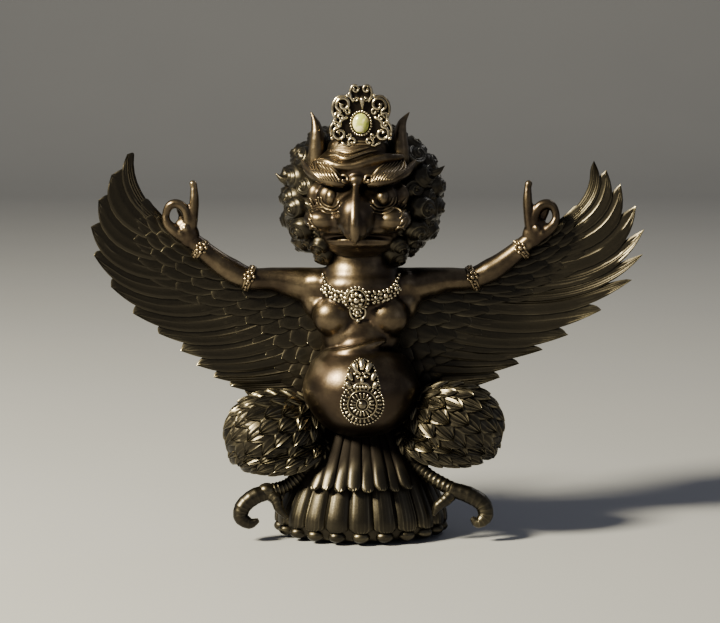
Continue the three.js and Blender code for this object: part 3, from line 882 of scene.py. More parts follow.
def bib():
    pieces = []
    for k in range(BIB_FEATHERS):
        order = k - (BIB_FEATHERS - 1) / 2
        over = 0.5 * (k % 2)

        def where(x, y, z):
            share = gathered((y + 1) / 2, ROUND_CROWDING)
            angle = order * 0.178 + x * 0.098
            down = share * (0.372 - 0.012 * (k % 2))
            return fan_place(angle, down, (-0.2 + over + 1.6 * share + z * (0.45 + 0.7 * share)) * U)

        pieces.append(lay(bib_feather, where))
    return pieces


tail = plumage(skirt + bib(), "garuda_tail")

# %% [markdown]
# ## Legs
#
# The folded legs show as two feathered balls at each side of the belly: the thigh above and the calf below.
# Leaf-shaped feathers lie on them like roof tiles, in rings round the line that points away from the hip.
# The bare shank is ringed with scales, and the toes curl inwards with a swelling at each joint.

# %% Model the thighs
LEAF_RINGS = [(10, 3), (28, 7), (46, 10), (64, 12), (82, 13), (100, 13), (118, 11), (136, 9), (154, 6)]
LEAF_CROWDING = 1.5
leaf = flat_feather(
    "leaf", 10, 7, tapered(0.35, 2.0, 0.04), [1.0, 0.52, 0.82, 0.45, 0.68, 0.3], 0.6, LEAF_CROWDING)


def leg_ball(side, form, roll):
    outward, upward = LEG_SHIFT[side]
    x, y, z = form["centre"]
    centre = (side * (x + outward), y, z + upward)
    return centre, ball(centre, form["radii"], roll=side * roll, segments=32, rings=20)


def leaves(side, centre, radii, roll, first_turn):
    """Leaf feathers on a ball, with their tips towards the end that points away from the hip."""
    axis = Vector((side, 0, -0.65)).normalized()
    across = Vector((0, 1, 0))
    third = axis.cross(across)
    tip_over = Matrix.Rotation(side * roll, 3, "Y")
    pieces = []
    for ring, (polar, count) in enumerate(LEAF_RINGS):
        for k in range(count):
            turn = first_turn + 2 * math.pi * (k + 0.5 * (ring % 2)) / count
            half = math.pi / count * 1.25

            def where(x, y, z):
                share = gathered((y + 1) / 2, LEAF_CROWDING)
                theta = math.radians(polar + 32 * (1 - share))
                phi = turn + x * half * math.sin(math.radians(polar + 9)) / math.sin(max(theta, 0.2))
                aside = across * math.cos(phi) + third * math.sin(phi)
                n = axis * math.cos(theta) + aside * math.sin(theta)
                on_ball = Vector((n.x * radii[0], n.y * radii[1], n.z * radii[2]))
                outwards = Vector((n.x / radii[0], n.y / radii[1], n.z / radii[2])).normalized()
                raised = 1.05 * share + z * 0.75 - 0.3
                return (tip_over @ (on_ball + outwards * raised)) * U + at(*centre)

            pieces.append(lay(leaf, where))
    return pieces


def thigh(side):
    pieces = []
    for form, roll, first_turn in ((THIGH, 0.12, 0.0), (CALF, 0.05, 0.3)):
        centre, smooth = leg_ball(side, form, roll)
        pieces.append(smooth)
        pieces += leaves(side, centre, form["radii"], roll, first_turn)
    return pieces


thighs = [piece for side in SIDES for piece in thigh(side)]
print("leaf feathers:", len(thighs) - 4)

# %% Model the feet
SHANKS = {
    -1: [(10, -5, 17.5), (12.8, -6, 14.6), (16.3, -7, 12.0), (20.4, -8.2, 10.8)],
    1: [(8, -5, 20.5), (11.2, -6, 17.4), (15, -7, 14.2), (20, -8.4, 11.4)],
}
OUTER_TOES = {
    -1: [(20, -8.2, 10.8), (23.2, -9, 10), (25.9, -9.6, 7.7), (26.2, -10, 5.5), (24.3, -10.4, 4.3),
         (22.4, -10.6, 5)],
    1: [(19.6, -8.4, 11.5), (23.9, -9, 10.2), (26.8, -9.6, 8.2), (27.2, -10, 5.7), (25.6, -10.4, 4.5),
        (24.2, -10.6, 5.5)],
}
INNER_TOES = {
    -1: [(20.6, -8.2, 10.8), (18.6, -9.2, 9.3), (17.9, -9.8, 7.5), (16, -10.2, 5.2)],
    1: [(20.4, -8.4, 11), (18.6, -9.4, 9.3), (16.8, -9.9, 7.9), (15.9, -10.2, 6)],
}


def ringed_rod(points, radii, rings, swell, sides=10):
    """A rod whose radius swells and shrinks between a number of rings."""
    path = [Vector(point) for point in points]
    count = rings * 3
    knots = []
    sizes = []
    for i in range(count + 1):
        knots.append(tuple(through(path, i / count)))
        sizes.append(along(radii, i / count) * (1 + swell * (1 if i % 3 == 1 else -0.6)))
    return rod(knots, sizes, sides=sides, steps=2)


feet = []
for side in SIDES:
    feet.append(ringed_rod(mirror(side, SHANKS[side]), [2.0, 1.7, 1.5, 1.7], 15, 0.055))
    feet.append(ringed_rod(mirror(side, OUTER_TOES[side]), [1.7, 1.9, 1.85, 1.7, 1.3, 0.5], 13, 0.018))
    feet.append(ringed_rod(mirror(side, INNER_TOES[side]), [1.5, 1.35, 1.1, 0.35], 7, 0.02))
    feet.append(ball((side * 20.6, -8.4, 11.2), (2.1, 1.9, 1.7), segments=14, rings=10))

legs = plumage(thighs + feet, "garuda_legs")

# %% [markdown]
# ## Head
#
# The head is built looking straight ahead and then turned four degrees, as the figure's own is. A ball of
# hair carries rows of snail curls, each of three strands wound into its centre, with a few more along the
# jaw and a loose hair tip at each side. The face is melted from balls and rods, more finely than the body:
# a domed forehead with folds, bulging cheeks, eye balls under swelling brows, and a hooked beak over a wide
# mouth.

# %% Model the mane
MANE_CENTRE = Vector((0, 1.3, 76.3))
MANE_RADII = Vector((16.0, 10.5, 13.6))
JOWLS = 3.2
CURL_RINGS = [(46, 13), (65, 17), (86, 18), (107, 17), (129, 13), (151, 8), (178, 1)]
JAW_CURLS = [(52, -165), (52, -15), (52, -144), (52, -36), (54, -123), (54, -57), (66, -117), (66, -63)]


def mane_place(polar, turn, raised):
    """A place on the hair, at an angle from the face's own direction and a turn about it."""
    x = math.sin(polar) * math.cos(turn)
    z = math.sin(polar) * math.sin(turn)
    power = JOWLS if z < 0 else 2
    shares = abs(math.cos(turn)) ** power + abs(math.sin(turn)) ** power
    fullness = shares ** (-1 / power)
    radii = MANE_RADII + Vector((raised, raised, raised))
    round_place = Vector((x * fullness * radii.x, -math.cos(polar) * radii.y, z * fullness * radii.z))
    return round_place + MANE_CENTRE


def curl_place(x, y, z):
    """Where a corner of a half ball of one unit goes, so that strands wind into its centre."""
    unit = Vector((x, y, z)) / U
    share = 1 - math.asin(min(1, max(0, unit.z))) / (math.pi / 2)
    turn = math.atan2(unit.y, unit.x) / (2 * math.pi) + 1.6 * share ** 0.8
    groove = 0.5 - 0.5 * math.cos(2 * math.pi * turn)
    strand = 0.5 - 0.5 * math.cos(6 * math.pi * turn)
    rise = 0.62 * (1 - share ** 2.2) ** 0.6 + min(1, 4 * (1 - share)) * (0.17 * groove + 0.085 * strand)
    wide = (0.98 * share + 0.02) / max(math.hypot(unit.x, unit.y), 0.02) if unit.z < 0.99 else 0
    return at(unit.x * wide, unit.y * wide, rise if unit.z > 0.01 else -0.15)


snail = ball((0, 0, 0), (1, 1, 1), segments=30, rings=36)
snail.name = "snail_curl"
bpy.ops.object.mode_set(mode="EDIT")
pick(snail, "vertices", lambda vertex: vertex.co.z < -0.1 * U)
bpy.ops.mesh.delete(type="VERT")
bpy.ops.mesh.select_all(action="SELECT")
bpy.ops.mesh.fill_holes(sides=0)
bpy.ops.object.mode_set(mode="OBJECT")
reshape(snail, curl_place)
print("triangles of one curl:", triangles(snail))

# %% Lay the curls
CURL_SIZES = [2.5, 3.0, 3.1, 3.25, 3.3]
JAW_LIFT = 1.7
curls = []
locks = [
    (ring, polar, k, 2 * math.pi * (k + 0.5 * (ring % 2)) / count + 0.1, 0.0)
    for ring, (polar, count) in enumerate(CURL_RINGS) for k in range(count)]
locks += [(0, polar, k, math.radians(turn), JAW_LIFT) for k, (polar, turn) in enumerate(JAW_CURLS)]
for ring, polar, k, turn, lift in locks:
    size = along(CURL_SIZES, (polar - 46) / 100) * (1 + 0.1 * math.sin(7.3 * k + ring))
    winding = 1 if (k + ring) % 3 else -1
    phase = 2.4 * k + ring
    tip = 1.28 + 0.16 * math.sin(3.1 * k)

    def where(x, y, z):
        x, y, z = x / U * winding, y / U, z / U
        wound_x = (x * math.cos(phase) - y * math.sin(phase)) * size
        wound_y = (x * math.sin(phase) + y * math.cos(phase)) * size * tip
        centre = mane_place(math.radians(polar), turn, lift)
        outward = (mane_place(math.radians(polar), turn, lift + 1.0) - centre).normalized()
        up = Vector((0, 1, 0)).cross(outward)
        up = up.normalized() if up.length > 0.1 else Vector((1, 0, 0))
        over = outward.cross(up)
        sag = (wound_x ** 2 + wound_y ** 2) / 34
        return (centre + up * wound_x + over * wound_y + outward * (z * size - 0.1 - sag)) * U

    curls.append(lay(snail, where))

for side, tip_z in ((-1, 80.6), (1, 82.4)):
    path = [(14.4, -3.0, tip_z - 2.2), (16.9, -3.4, tip_z - 1.5), (18.5, -3.4, tip_z - 0.2)]
    curls.append(rod(mirror(side, path), [1.3, 0.85, 0.06], sides=10))


def hair_place(x, y, z):
    unit = Vector((x, y, z)) / U
    return mane_place(math.acos(min(1, max(-1, -unit.y))), math.atan2(unit.z, unit.x), 0.0) * U


hair = reshape(ball((0, 0, 0), (1, 1, 1), segments=48, rings=28), hair_place)
mane = face_out(join(curls + [hair], "garuda_mane"))
wear(mane, plume_bronze)
print("curls:", len(curls), "triangles:", triangles(mane))

# %% Model the face


def face():
    pieces = [
        ball((0, -5.2, 73.2), (10.8, 8.8, 11.3)),
        ball((0, -6.6, 81.6), (10.3, 7.4, 5.4)),
        ball((0, -5.2, 66.2), (8.2, 5.6, 4.2)),
        ball((0, -7.0, 86.0), (6.8, 4.6, 4.0)),
        ball((0, -11.8, 73.4), (5.6, 4.6, 5.2)),
        ball((0, -14.2, 72.0), (4.3, 4.8, 5.2)),
        ball((0, -15.8, 70.2), (3.1, 3.8, 3.6)),
        rod([(0, -13.4, 79.4), (0, -15.9, 76.8), (0, -18.0, 73.4),
             (0, -18.9, 70.4), (0, -18.6, 68.0), (0, -17.9, 66.1)],
            [0.9, 1.0, 1.15, 1.3, 1.1, 0.35], sides=12),
        ball((0, -13.9, 79.6), (1.7, 1.3, 1.3)),
        rod([(-7.0, -8.2, 65.6), (-4.8, -10.0, 65.7), (-2.4, -11.2, 65.9), (0, -11.7, 66.0),
             (2.4, -11.2, 65.9), (4.8, -10.0, 65.7), (7.0, -8.2, 65.6)],
            [0.3, 0.6, 0.8, 0.85, 0.8, 0.6, 0.3], sides=10),
        rod([(-9.6, -8.2, 82.9), (-6.6, -11.9, 83.3), (-3.8, -13.3, 82.6), (-0.8, -13.6, 82.7),
             (2.4, -13.2, 83.6), (5.8, -12.0, 84.3), (9.6, -8.2, 84.4)],
            [0.8, 1.15, 1.05, 0.9, 1.0, 1.05, 0.8], sides=12),
    ]
    for side in SIDES:
        pieces += [
            ball((side * 7.3, -10.6, 71.1), (4.4, 4.5, 2.8)),
            ball((side * 3.2, -12.4, 70.6), (2.6, 3.0, 2.2)),
            ball((side * 5.5, -10.6, 75.8), (3.2, 2.0, 3.0)),
            rod(mirror(side, [(0.5, -16.6, 74.0), (2.8, -14.8, 72.0), (5.6, -12.8, 70.6)]),
                [1.2, 1.5, 1.2], sides=12),
            rod(mirror(side, [(0.8, -15.4, 69.4), (3.4, -13.6, 69.0), (6.6, -11.4, 69.0), (9.2, -8.2, 70.0)]),
                [0.8, 0.9, 0.85, 0.5], sides=10),
            rod(mirror(side, [(2.4, -14.4, 78.8), (4.8, -14.6, 79.6), (7.6, -13.2, 80.3),
                              (10.4, -10.0, 81.4), (12.4, -7.0, 83.6)]),
                [0.9, 1.35, 1.45, 1.15, 0.4], sides=12),
            ball((side * 9.0, -8.6, 76.0), (2.2, 1.8, 2.8)),
        ]
    return pieces


MOUTH = {
    "half_width": 8.0, "z": 67.7, "droop": 0.9, "half_height": 0.85, "depth": 1.5,
    "front": -13.8, "back": -5.0}


def pressed(x, y, z):
    """Presses a slit between the lips, behind the beak."""
    across = abs(x) / U / MOUTH["half_width"]
    off = (z / U - MOUTH["z"] + MOUTH["droop"] * across ** 2) / MOUTH["half_height"]
    if MOUTH["front"] < y / U < MOUTH["back"] and across < 1 and abs(off) < 1:
        y += MOUTH["depth"] * (1 - across ** 4) * (1 - off * off) * U
    return (x, y, z)


head = reshape(melt(face(), "face", 0.0007, 5), pressed)
wear(head, skin_bronze)
print("faces of the face:", len(head.data.polygons))

# %% Add eyes, brows and horns
EYE = (5.55, 75.9)
HORN_TIPS = {-1: 10.4, 1: 10.9}
on_face = landing(head)


def circle(x, z, radius, count=16):
    """Places of x and z round a centre, an even turn apart."""
    turns = [2 * math.pi * k / count for k in range(count)]
    return [(x + radius * math.cos(turn), z + radius * math.sin(turn)) for turn in turns]


def wire(place, path, radii, raised, side=1):
    """A wire that follows a skin through places of x and z, mirrored where side is -1."""
    return rod([place(side * x, z, raised) for x, z in path], radii, sides=8)


ARCH = ((-1, 1.5), (-0.55, 0.3), (0, 0), (0.55, 0.3), (1, 1.5))
FOLDS = [
    ([(-6.2, 84.6), (-4.4, 84.7), (-2.6, 84.1), (-0.8, 84.5), (1.6, 85.3), (4.4, 85.9)],
     [0.1, 0.42, 0.5, 0.42, 0.35, 0.1], 0.15),
    ([(-4.8, 85.7), (-3.2, 85.5), (-1.6, 85.3), (0.4, 86.0), (2.6, 86.6)], [0.1, 0.34, 0.38, 0.3, 0.1], 0.12),
]
for arch in range(4):
    reach = 6.6 - 1.1 * arch
    crest = 87.2 + 0.6 * arch
    arc = [(share * reach, crest - drop) for share, drop in ARCH]
    FOLDS.append((arc, [0.08, 0.18, 0.2, 0.18, 0.08], 0.02))
brow_curl = []
for k in range(9):
    reach = 1.15 - 0.1 * k
    brow_curl.append((2.5 + reach * math.cos(0.75 * k), 79.8 + reach * math.sin(0.75 * k)))
SIDE_FOLDS = [
    (brow_curl, [0.2] + [0.34] * 7 + [0.45], 0.2),
    ([(8.4, 68.9), (9.1, 69.8), (9.9, 69.4), (9.6, 68.5)], [0.15, 0.3, 0.3, 0.15], 0.1),
    ([(5.0, 73.0), (6.8, 73.6), (9.0, 73.4), (10.0, 72.0)], [0.1, 0.25, 0.25, 0.1], 0.0),
]
for reach, thick, start, end in ((2.1, 0.28, 3.3, 6.3), (2.75, 0.24, 3.7, 6.3), (3.4, 0.17, 4.1, 6.1)):
    turns = [start + (end - start) * k / 8 for k in range(9)]
    arc = [(EYE[0] + reach * math.cos(turn), EYE[1] + reach * math.sin(turn)) for turn in turns]
    SIDE_FOLDS.append((arc, [thick * 0.5] + [thick] * 7 + [thick * 0.5], 0.1))
for strand in range(9):
    share = strand / 8
    brow = [(3.0 + 4.4 * share, 79.4 + 0.5 * share), (3.7 + 5.2 * share, 80.7 + 0.3 * share),
            (4.6 + 5.6 * share, 82.0), (5.8 + 5.6 * share, 83.2 + 0.8 * share)]
    SIDE_FOLDS.append((brow, [0.15, 0.38, 0.34, 0.08], 0.15))
for line in range(5):
    low = 69.4 + 1.25 * line
    SIDE_FOLDS.append(([(9.3, low - 0.4), (9.9, low + 0.5), (10.4, low + 1.2)], [0.1, 0.3, 0.1], 0.1))

crisp = [wire(on_face, *fold) for fold in FOLDS]
for side in SIDES:
    crisp.append(ball(on_face(side * EYE[0], EYE[1], -0.4), (1.4, 1.7, 1.85), segments=20, rings=14))
    crisp += [wire(on_face, *fold, side) for fold in SIDE_FOLDS]
    horn = [(9.0, -6.4, 82.0), (9.1, -6.9, 85.6), (9.0, -7.0, 89.2), (9.4, -6.6, 91.6)]
    horn.append((HORN_TIPS[side], -6, 93.9))
    crisp.append(ringed_rod(mirror(side, horn), [2.1, 1.85, 1.45, 0.95, 0.1], 8, 0.012, sides=14))
details = join(crisp, "details")
wear(details, skin_bronze)
print("wires and horns on the face:", len(crisp))

# %% [markdown]
# ## Jewellery
#
# The crown, the necklace, the bracelets and the medallion on the belly are fine wire-and-bead work. They are
# rubbed almost silver, apart from the bracelets, which keep the tone of the arms. All of it is cast with the
# rest, so every bead sits in the skin below it. To find the skin, a ray is sent from the front to the melted
# body, and a bead is set where it lands.

# %% Set beads on the skin
on_skin = landing(body)
single_bead = ball((0, 0, 0), (1, 1, 1), segments=10, rings=6)
single_bead.name = "single_bead"


def set_bead(place, radius):
    return lay(single_bead, lambda x, y, z: Vector((x, y, z)) * radius + at(*place))


def beads(places, radius, raised):
    """Beads on the skin at places of x and z."""
    return [set_bead(on_skin(x, z, raised), radius) for x, z in places]


def bead_row(path, radius, pitch=0.74, raised=0.25):
    """Beads on the skin along a path of x and z, a pitch apart."""
    points = flat_vectors(path)
    length = sum((b - a).length for a, b in zip(points, points[1:]))
    count = max(2, round(length / pitch))
    places = [through(points, i / (count - 1)) for i in range(count)]
    return beads([(place.x, place.z) for place in places], radius, raised)


def rosette(x, z, radius, petals=7, raised=0.2):
    """A flower of beads round a larger one."""
    middle = beads([(x, z)], radius * 0.42, raised + 0.25)
    return middle + beads(circle(x, z, radius * 0.68, petals), radius * 0.3, raised)


def skin_wire(path, radius, raised, closed=False, sides=6):
    """A wire on the skin through places of x and z."""
    knots = [on_skin(x, z, raised) for x, z in path]
    return rod(knots, [radius] * len(knots), sides=sides, steps=3, closed=closed)


print("triangles of one bead:", triangles(single_bead))

# %% String the necklace
NECKLACE_ROWS = [
    ([(8.2, 58.2), (7.5, 56.8), (6.2, 55.7), (4.2, 55.2), (1.8, 55.2)], 0.4),
    ([(8.4, 55.2), (7.0, 54.0), (5.0, 53.1), (2.8, 52.8)], 0.38),
]
PENDANT = (-0.9, 53.7)
LOWER_PENDANT = (-0.7, 50.5)
necklace = []
for side in SIDES:
    for row, radius in NECKLACE_ROWS:
        necklace += bead_row([(side * x, z) for x, z in row], radius)
    for x, z, radius in ((7.3, 55.5, 1.25), (5.2, 54.3, 1.5), (3.2, 54.0, 1.25)):
        necklace += rosette(side * x, z, radius)
necklace += rosette(*PENDANT, 1.75, 8, 0.6)
necklace += beads(circle(*PENDANT, 2.5, 19), 0.36, 0.5)
necklace.append(skin_wire(circle(*PENDANT, 2.02), 0.18, 0.5, True))
necklace += rosette(*LOWER_PENDANT, 1.2, 7, 0.45)
necklace.append(skin_wire(circle(*LOWER_PENDANT, 1.7), 0.26, 0.35, True))
necklace += beads([(-0.6, 48.5)], 0.5, 0.25)
print("pieces of the necklace:", len(necklace))

# %% Cast the medallion
WHEEL = (0.3, 31.7)
MASK_X = 0.2
MASK_EDGE = [(3.8, 35.2), (3.4, 37.0), (2.9, 38.7), (1.9, 40.2), (0.4, 41.0)]
MASK_PETALS = [
    (1.4, 39.3, 0.4, 1.9, 0.76, 0.4),
    (2.45, 37.5, 0.5, 1.7, 0.68, 0.35),
    (2.75, 35.8, 0.7, 1.6, 0.66, 0.35),
]
UP = math.pi / 2


def petal(x, z, turn, length, width, raised=0.12):
    """A drop-shaped petal on the skin, which points away along a turn."""
    dx, dz = math.cos(turn), math.sin(turn)
    knots = [on_skin(x + dx * length * t, z + dz * length * t, raised) for t in (-0.5, -0.1, 0.25, 0.5)]
    return rod(knots, [width * 0.45, width * 0.8, width, width * 0.6], sides=8, steps=2)


def petal_ring(count, radius, length, width):
    places = enumerate(circle(*WHEEL, radius, count))
    return [petal(x, z, 2 * math.pi * k / count, length, width) for k, (x, z) in places]


medallion = [
    ball(on_skin(*WHEEL), (0.95, 0.75, 0.95), segments=20, rings=12),
    skin_wire(circle(*WHEEL, 1.25), 0.12, 0.1, True),
    skin_wire(circle(*WHEEL, 3.05), 0.2, 0.15, True, 8),
    petal(MASK_X, 39.8, UP, 2.1, 0.86, 0.5),
    petal(MASK_X + 0.02, 36.9, -UP, 1.2, 0.45, 0.6),
    skin_wire([(-1.5, 35.2), (-0.9, 36.0), (MASK_X, 36.2), (1.3, 36.0), (1.9, 35.2)], 0.3, 0.45),
]
medallion += petal_ring(18, 2.05, 1.1, 0.25) + petal_ring(26, 3.72, 0.85, 0.3)
medallion += beads([(x, z) for x, z in circle(*WHEEL, 4.55, 42) if z < 35.9], 0.27, 0.15)
medallion += beads([(x, 35.5) for x in (-0.7, -0.1, 0.5, 1.1)], 0.36, 0.35)
for side in SIDES:
    medallion += bead_row([(MASK_X + side * x, z) for x, z in MASK_EDGE], 0.27, 0.55, 0.15)
    for x, z, lean, length, width, raised in MASK_PETALS:
        medallion.append(petal(MASK_X + side * x, z, UP - side * lean, length, width, raised))
    medallion.append(ball(on_skin(MASK_X + side * 0.8, 37.5, 0.35), (0.55, 0.5, 0.42), segments=12, rings=8))
    brow = [(0.2, 37.9), (0.9, 38.3), (1.7, 37.9)]
    medallion.append(skin_wire([(MASK_X + side * x, z) for x, z in brow], 0.26, 0.5))
print("pieces of the medallion:", len(medallion))

# %% Lay the dark ground under the medallion


def keyhole_width(z):
    """Half width of the medallion at a height: a round wheel below and a pointed arch above."""
    if z < 35:
        return math.sqrt(max(0.01, 4.75 ** 2 - (z - WHEEL[1]) ** 2))
    return 3.7 * math.sqrt(max(0.01, 1 - ((z - 35) / 6.3) ** 2))


def ground_place(x, y, z):
    height = WHEEL[1] - 4.7 + (y + 1) / 2 * 14.15
    return at(*on_skin(0.25 + x * keyhole_width(height), height, 0.08))


bpy.ops.object.select_all(action="DESELECT")
bpy.ops.mesh.primitive_grid_add(x_subdivisions=16, y_subdivisions=24, size=2)
ground = reshape(bpy.context.object, ground_place)
finish_with(ground, "SOLIDIFY", thickness=0.4 * U, offset=-1)
print("triangles of the ground:", triangles(ground))

# %% Add bracelets


def bracelet(side, place, radius, slope):
    """Two wire rings with a row of beads between them and a flower in front."""
    x, y, z = place
    centre = Vector((side * x, y, z))
    lean = Matrix.Rotation(-side * slope, 3, "Y")

    def band(offset, count):
        return [lean @ Vector((offset, dy, dz)) + centre for dy, dz in circle(0, 0, radius, count)]

    pieces = [rod(band(offset, 12), [0.3] * 12, sides=6, steps=3, closed=True) for offset in (-0.55, 0.55)]
    pieces += [set_bead(spot, 0.42) for spot in band(0, 16)]
    front = lean @ Vector((0, -radius - 0.25, 0.6)) + centre
    pieces.append(set_bead(front + Vector((0, -0.25, 0)), 0.62))
    return pieces + [set_bead(front + Vector((dx, 0.1, dz)), 0.46) for dx, dz in circle(0, 0, 1.0, 7)]


bracelets = []
for side in SIDES:
    bracelets += bracelet(side, ELBOW, 2.65, 0.35)
    bracelets += bracelet(side, WRIST, 2.15, 0.7)
print("pieces of the bracelets:", len(bracelets))

# %% [markdown]
# ## Crown
#
# The crown is a small pierced plaque of scrolls round an oval stone in a beaded ring, with a drop over it. A
# thin dark plate in the plaque's outline is melted from discs, and the scrolls are wires that curl up on its
# front. The stone is a domed cabochon: a ball that is cut flat where it rests.

# %% Melt the plate of the crown
CROWN = {"x": 0.8, "y": -10.2, "z": 92.7}
PLATE = 2.0 * MM / U
LOBES = [
    (0, 5.0, 2.0), (-1.2, 6.0, 1.15), (1.2, 6.0, 1.15), (-3.5, 2.0, 2.6), (3.5, 2.0, 2.6),
    (-3.6, -2.6, 2.8), (3.6, -2.6, 2.8), (0, -3.4, 2.4), (0, 0, 4.0)]


def disc(x, z, radius):
    bpy.ops.object.select_all(action="DESELECT")
    bpy.ops.mesh.primitive_cylinder_add(
        vertices=32, radius=radius * U, depth=(PLATE - 0.3) * U, rotation=(math.pi / 2, 0, 0),
        location=at(CROWN["x"] + x, CROWN["y"] - PLATE / 2 + 0.1, CROWN["z"] + z))
    return settle(bpy.context.object)


plate = melt([disc(*lobe) for lobe in LOBES], "crown_plate", 0.0004, 3)
print("faces of the plate:", len(plate.data.polygons))

# %% Curl the scrolls
STONE = {"x": 0.8, "z": 91.7, "half_width": 3.6 * MM / U, "half_height": 4.3 * MM / U, "depth": 2.2 * MM / U}
STONE_RISE = STONE["z"] - CROWN["z"]
SEAT = 0.42  # from the edge of the stone to the middle of its ring of beads
SEAT_BEADS = 26
DROP_X = 0.3
DROP = [(3.0, 0.1, 0.12), (4.0, 0.3, 0.45), (5.1, 0.4, 0.68), (5.9, 0.1, 0.2)]
PLATE_EDGE = [
    (6.4, -3.6), (6.5, -1.8), (5.6, -0.3), (6.1, 1.4), (5.9, 3.4), (4.6, 4.8), (3.0, 4.9), (2.2, 5.8)]
PLATE_BEADS = [(2.9, 4.9, 0.2, 0.42), (5.7, -0.5, 0.2, 0.48), (6.2, -4.2, 0.1, 0.42)]
SCROLL_KNOTS = 10
SCROLLS = [
    (4.5, -3.2, 1.6, UP, -1.2, 0.38, [(2.9, 0.4), (4.4, -0.7)]),
    (3.7, 3.0, 1.8, 0.4 - UP, 1.25, 0.4, [(5.6, -0.4), (5.4, 1.1)]),
    (1.2, 6.3, 0.9, 0.4, 1.1, 0.34, [(1.6, 3.6), (2.3, 5.0)]),
    (1.8, -4.9, 0.95, -0.9, 1.1, 0.32, [(4.2, -5.1)]),
    (4.3, 0.2, 0.75, 0, 1.0, 0.28, []),
    (2.5, -3.6, 0.6, 0, -1.0, 0.24, []),
    (2.9, 1.5, 0.8, 0, 1.1, 0.26, []),
    (5.3, -1.2, 0.6, 0, 1.1, 0.24, []),
    (1.0, 4.3, 0.55, 0, -1.0, 0.22, []),
]


def on_plate(x, z, raised=0.1):
    return (CROWN["x"] + x, CROWN["y"] - PLATE - raised, CROWN["z"] + z)


def scroll(side, x, z, radius, start, turns, thick, tail):
    """A wire that winds in from its rim to its centre, after an optional tail."""
    knots = [on_plate(side * tail_x, tail_z) for tail_x, tail_z in tail]
    for k in range(SCROLL_KNOTS):
        share = k / (SCROLL_KNOTS - 1)
        turn = start + 2 * math.pi * turns * share
        reach = radius * (1 - 0.72 * share)
        wound_x = side * (x + reach * math.cos(turn))
        knots.append(on_plate(wound_x, z + reach * math.sin(turn), 0.1 + 0.3 * share))
    return rod(knots, [thick * 0.86] * (len(knots) - 1) + [thick * 1.4], sides=6, steps=3)


crown = []
for side in SIDES:
    crown += [scroll(side, *form) for form in SCROLLS]
    edge = [on_plate(side * x, z) for x, z in PLATE_EDGE]
    crown.append(rod(edge, [0.22, 0.27, 0.25, 0.27, 0.29, 0.27, 0.25, 0.2], sides=6, steps=3))
    crown += [set_bead(on_plate(side * x, z, raised), radius) for x, z, raised, radius in PLATE_BEADS]
drop_knots = [on_plate(DROP_X, STONE_RISE + rise, raised) for rise, raised, _ in DROP]
crown.append(rod(drop_knots, [radius for _, _, radius in DROP], sides=10, steps=4))
for dx, dz in circle(0, 0, 1.0, SEAT_BEADS):
    x = (STONE["half_width"] + SEAT) * dx
    z = STONE_RISE + (STONE["half_height"] + SEAT) * dz
    crown.append(set_bead(on_plate(x, z, 0.15), 0.27))
print("pieces of the crown:", len(crown))

# %% Cut the stone
STONE_BACK = CROWN["y"] - 2.7 * MM / U
CUT = 0.02  # in front of the ball's own corners, so that the cut meets none of them

stone = ball(
    (STONE["x"], STONE_BACK, STONE["z"]),
    (STONE["half_width"], STONE["depth"], STONE["half_height"]),
    segments=40, rings=24)
stone.name = "crown_cabochon"
edit_all(stone, lambda: bpy.ops.mesh.bisect(
    plane_co=at(0, STONE_BACK - CUT, 0), plane_no=(0, 1, 0), clear_outer=True, use_fill=True,
    threshold=SAME_PLACE))
wear(stone, stone_finish)
print("stone in mm:", [round(value / MM, 1) for value in stone.dimensions])

# %% Turn the head
turned = Matrix.Rotation(HEAD_TURN, 4, "Z")
crown_work = join(crown, "crown_work")
for piece in (mane, head, details, plate, crown_work, stone):
    piece.data.transform(turned)
jewels = join(necklace + medallion + [crown_work], "garuda_jewellery")
wear(jewels, trim_bronze)
# The dark grounds carry patina and painted shade behind the open work.
grounds = join([plate, ground], "garuda_dark_grounds")
wear(grounds, ground_patina_and_shade)
print("triangles of the jewellery:", triangles(jewels))

# %% [markdown]
# ## Wear, patina and painted shade
#
# Two values per corner of every mesh steer the patina. `rub` compares each corner with its neighbours: a
# corner that stands out is rubbed bright. `patina_and_shade` sends short rays from each corner and counts how
# many hit the figure, as dirt and dark patina stay where little reaches, and it paints the shade of those
# places too. Hands have also brightened the bare skin. The low tips of the long feathers get a painted
# highlight and the high ones painted shade. Under the belly the tail gets a painted shadow: more shade, less
# rub.

# %% Measure rub, patina and painted shade
RAY_LENGTH = 20 * MM
RAY_START = 0.0004
GRAZING = 0.25
RUB_GAIN = 0.9
WING_RUB_GAIN = 0.65
FAN_TOP = 22 * U
HANDLED = 0.07
# Painted shadow of the belly on the top of the tail: more soot and less rub there.
SHADE_UNDER_BELLY = 0.75
BELLY_SHADOW_RUB_CUT = 0.3
STEPS = (-1, 0, 1)
RAYS = [Vector((x, y, z)).normalized() for x in STEPS for y in STEPS for z in STEPS if x or y or z]


def edge_ends(mesh):
    edges = np.empty(len(mesh.edges) * 2, dtype=np.int64)
    mesh.edges.foreach_get("vertices", edges)
    return edges.reshape(-1, 2).T


def evened(piece, values, times):
    """Each corner's value averaged with its neighbours' a number of times."""
    first, second = edge_ends(piece.data)
    values = np.asarray(values, dtype=np.float64)
    neighbours = np.bincount(first, minlength=len(values)) + np.bincount(second, minlength=len(values))
    for _ in range(times):
        total = np.bincount(first, values[second], len(values))
        total += np.bincount(second, values[first], len(values))
        values = 0.5 * values + 0.5 * total / np.maximum(neighbours, 1)
    return values


def read_vectors(items, name):
    values = np.empty(len(items) * 3, dtype=np.float64)
    items.foreach_get(name, values)
    return values.reshape(-1, 3)


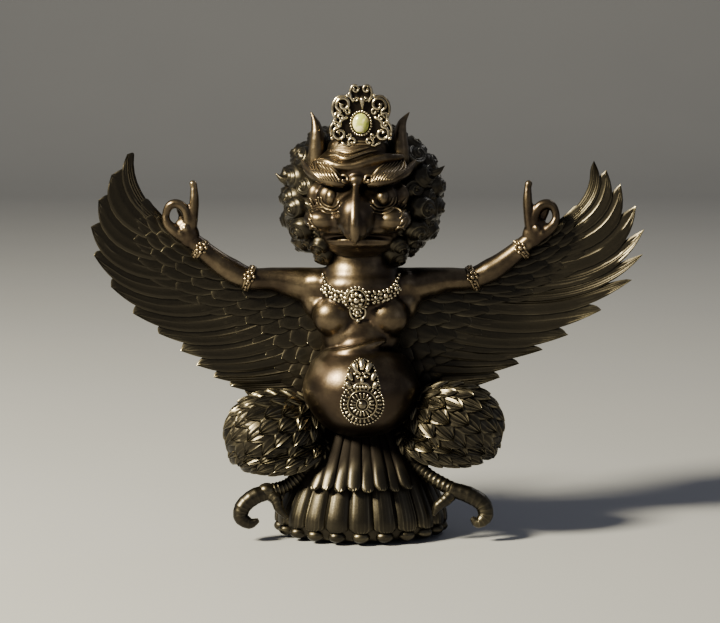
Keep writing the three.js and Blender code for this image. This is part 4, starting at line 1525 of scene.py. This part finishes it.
def measure_rub(piece, gain):
    mesh = piece.data
    places = read_vectors(mesh.vertices, "co")
    normals = read_vectors(mesh.vertex_normals, "vector")
    first, second = edge_ends(mesh)
    apart = places[first] - places[second]
    apart /= np.maximum(np.linalg.norm(apart, axis=1), 1e-9)[:, None]
    total = np.zeros(len(places))
    times = np.zeros(len(places))
    for here, sign in ((first, 1), (second, -1)):
        np.add.at(total, here, sign * np.einsum("ij,ij->i", apart, normals[here]))
        np.add.at(times, here, 1)
    bulge = total / np.maximum(times, 1)
    return np.clip(0.5 + gain * bulge, 0, 1)


def measure_occlusion(piece, tree):
    values = []
    for vertex, normal in zip(piece.data.vertices, piece.data.vertex_normals):
        outward = normal.vector
        start = vertex.co + outward * RAY_START
        open_rays = [ray for ray in RAYS if ray.dot(outward) > GRAZING]
        hits = sum(tree.ray_cast(start, ray, RAY_LENGTH)[0] is not None for ray in open_rays)
        values.append(hits / max(1, len(open_rays)))
    return values


rings = join(bracelets, "bracelets")
wear(rings, skin_bronze)
flesh = join([body, hands, head, details, rings], "garuda_flesh")
metal = [flesh, mane, wings, tail, legs, jewels, grounds]
corners = []
faces = []
for piece in metal:
    start = len(corners)
    corners += [vertex.co.copy() for vertex in piece.data.vertices]
    faces += [[start + i for i in polygon.vertices] for polygon in piece.data.polygons]
whole = BVHTree.FromPolygons(corners, faces)
for piece in metal:
    smooth = piece is flesh
    rub = evened(piece, measure_rub(piece, WING_RUB_GAIN if piece is wings else RUB_GAIN), 3 if smooth else 0)
    # Painted highlight on the low feather tips and painted shade on the high ones.
    if piece is wings:
        rub += read_attribute(wings, "tip")
    if smooth:
        rub += HANDLED
    # Dark patina of the hollows together with painted shade where little light gets in.
    patina_and_shade = evened(piece, measure_occlusion(piece, whole), 8 if smooth else 2)
    # Painted shadow of the belly on the tail.
    if piece is tail:
        under = np.array([along([0, 0, 1], vertex.co.z / FAN_TOP) for vertex in piece.data.vertices])
        patina_and_shade += SHADE_UNDER_BELLY * under
        rub -= BELLY_SHADOW_RUB_CUT * under
    write_attribute(piece, "rub", rub)
    write_attribute(piece, "patina_and_shade", patina_and_shade)
print("corners measured:", len(corners))

# %% Remove the models, attach the pieces and hide the frame's parts
for model in (long_feather, short_feather, flute, bib_feather, leaf, snail, single_bead):
    bpy.data.objects.remove(model)
for piece in metal:
    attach(piece, "root")
    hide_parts("garuda_figure")
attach(stone, "root")
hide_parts("crown_stone")
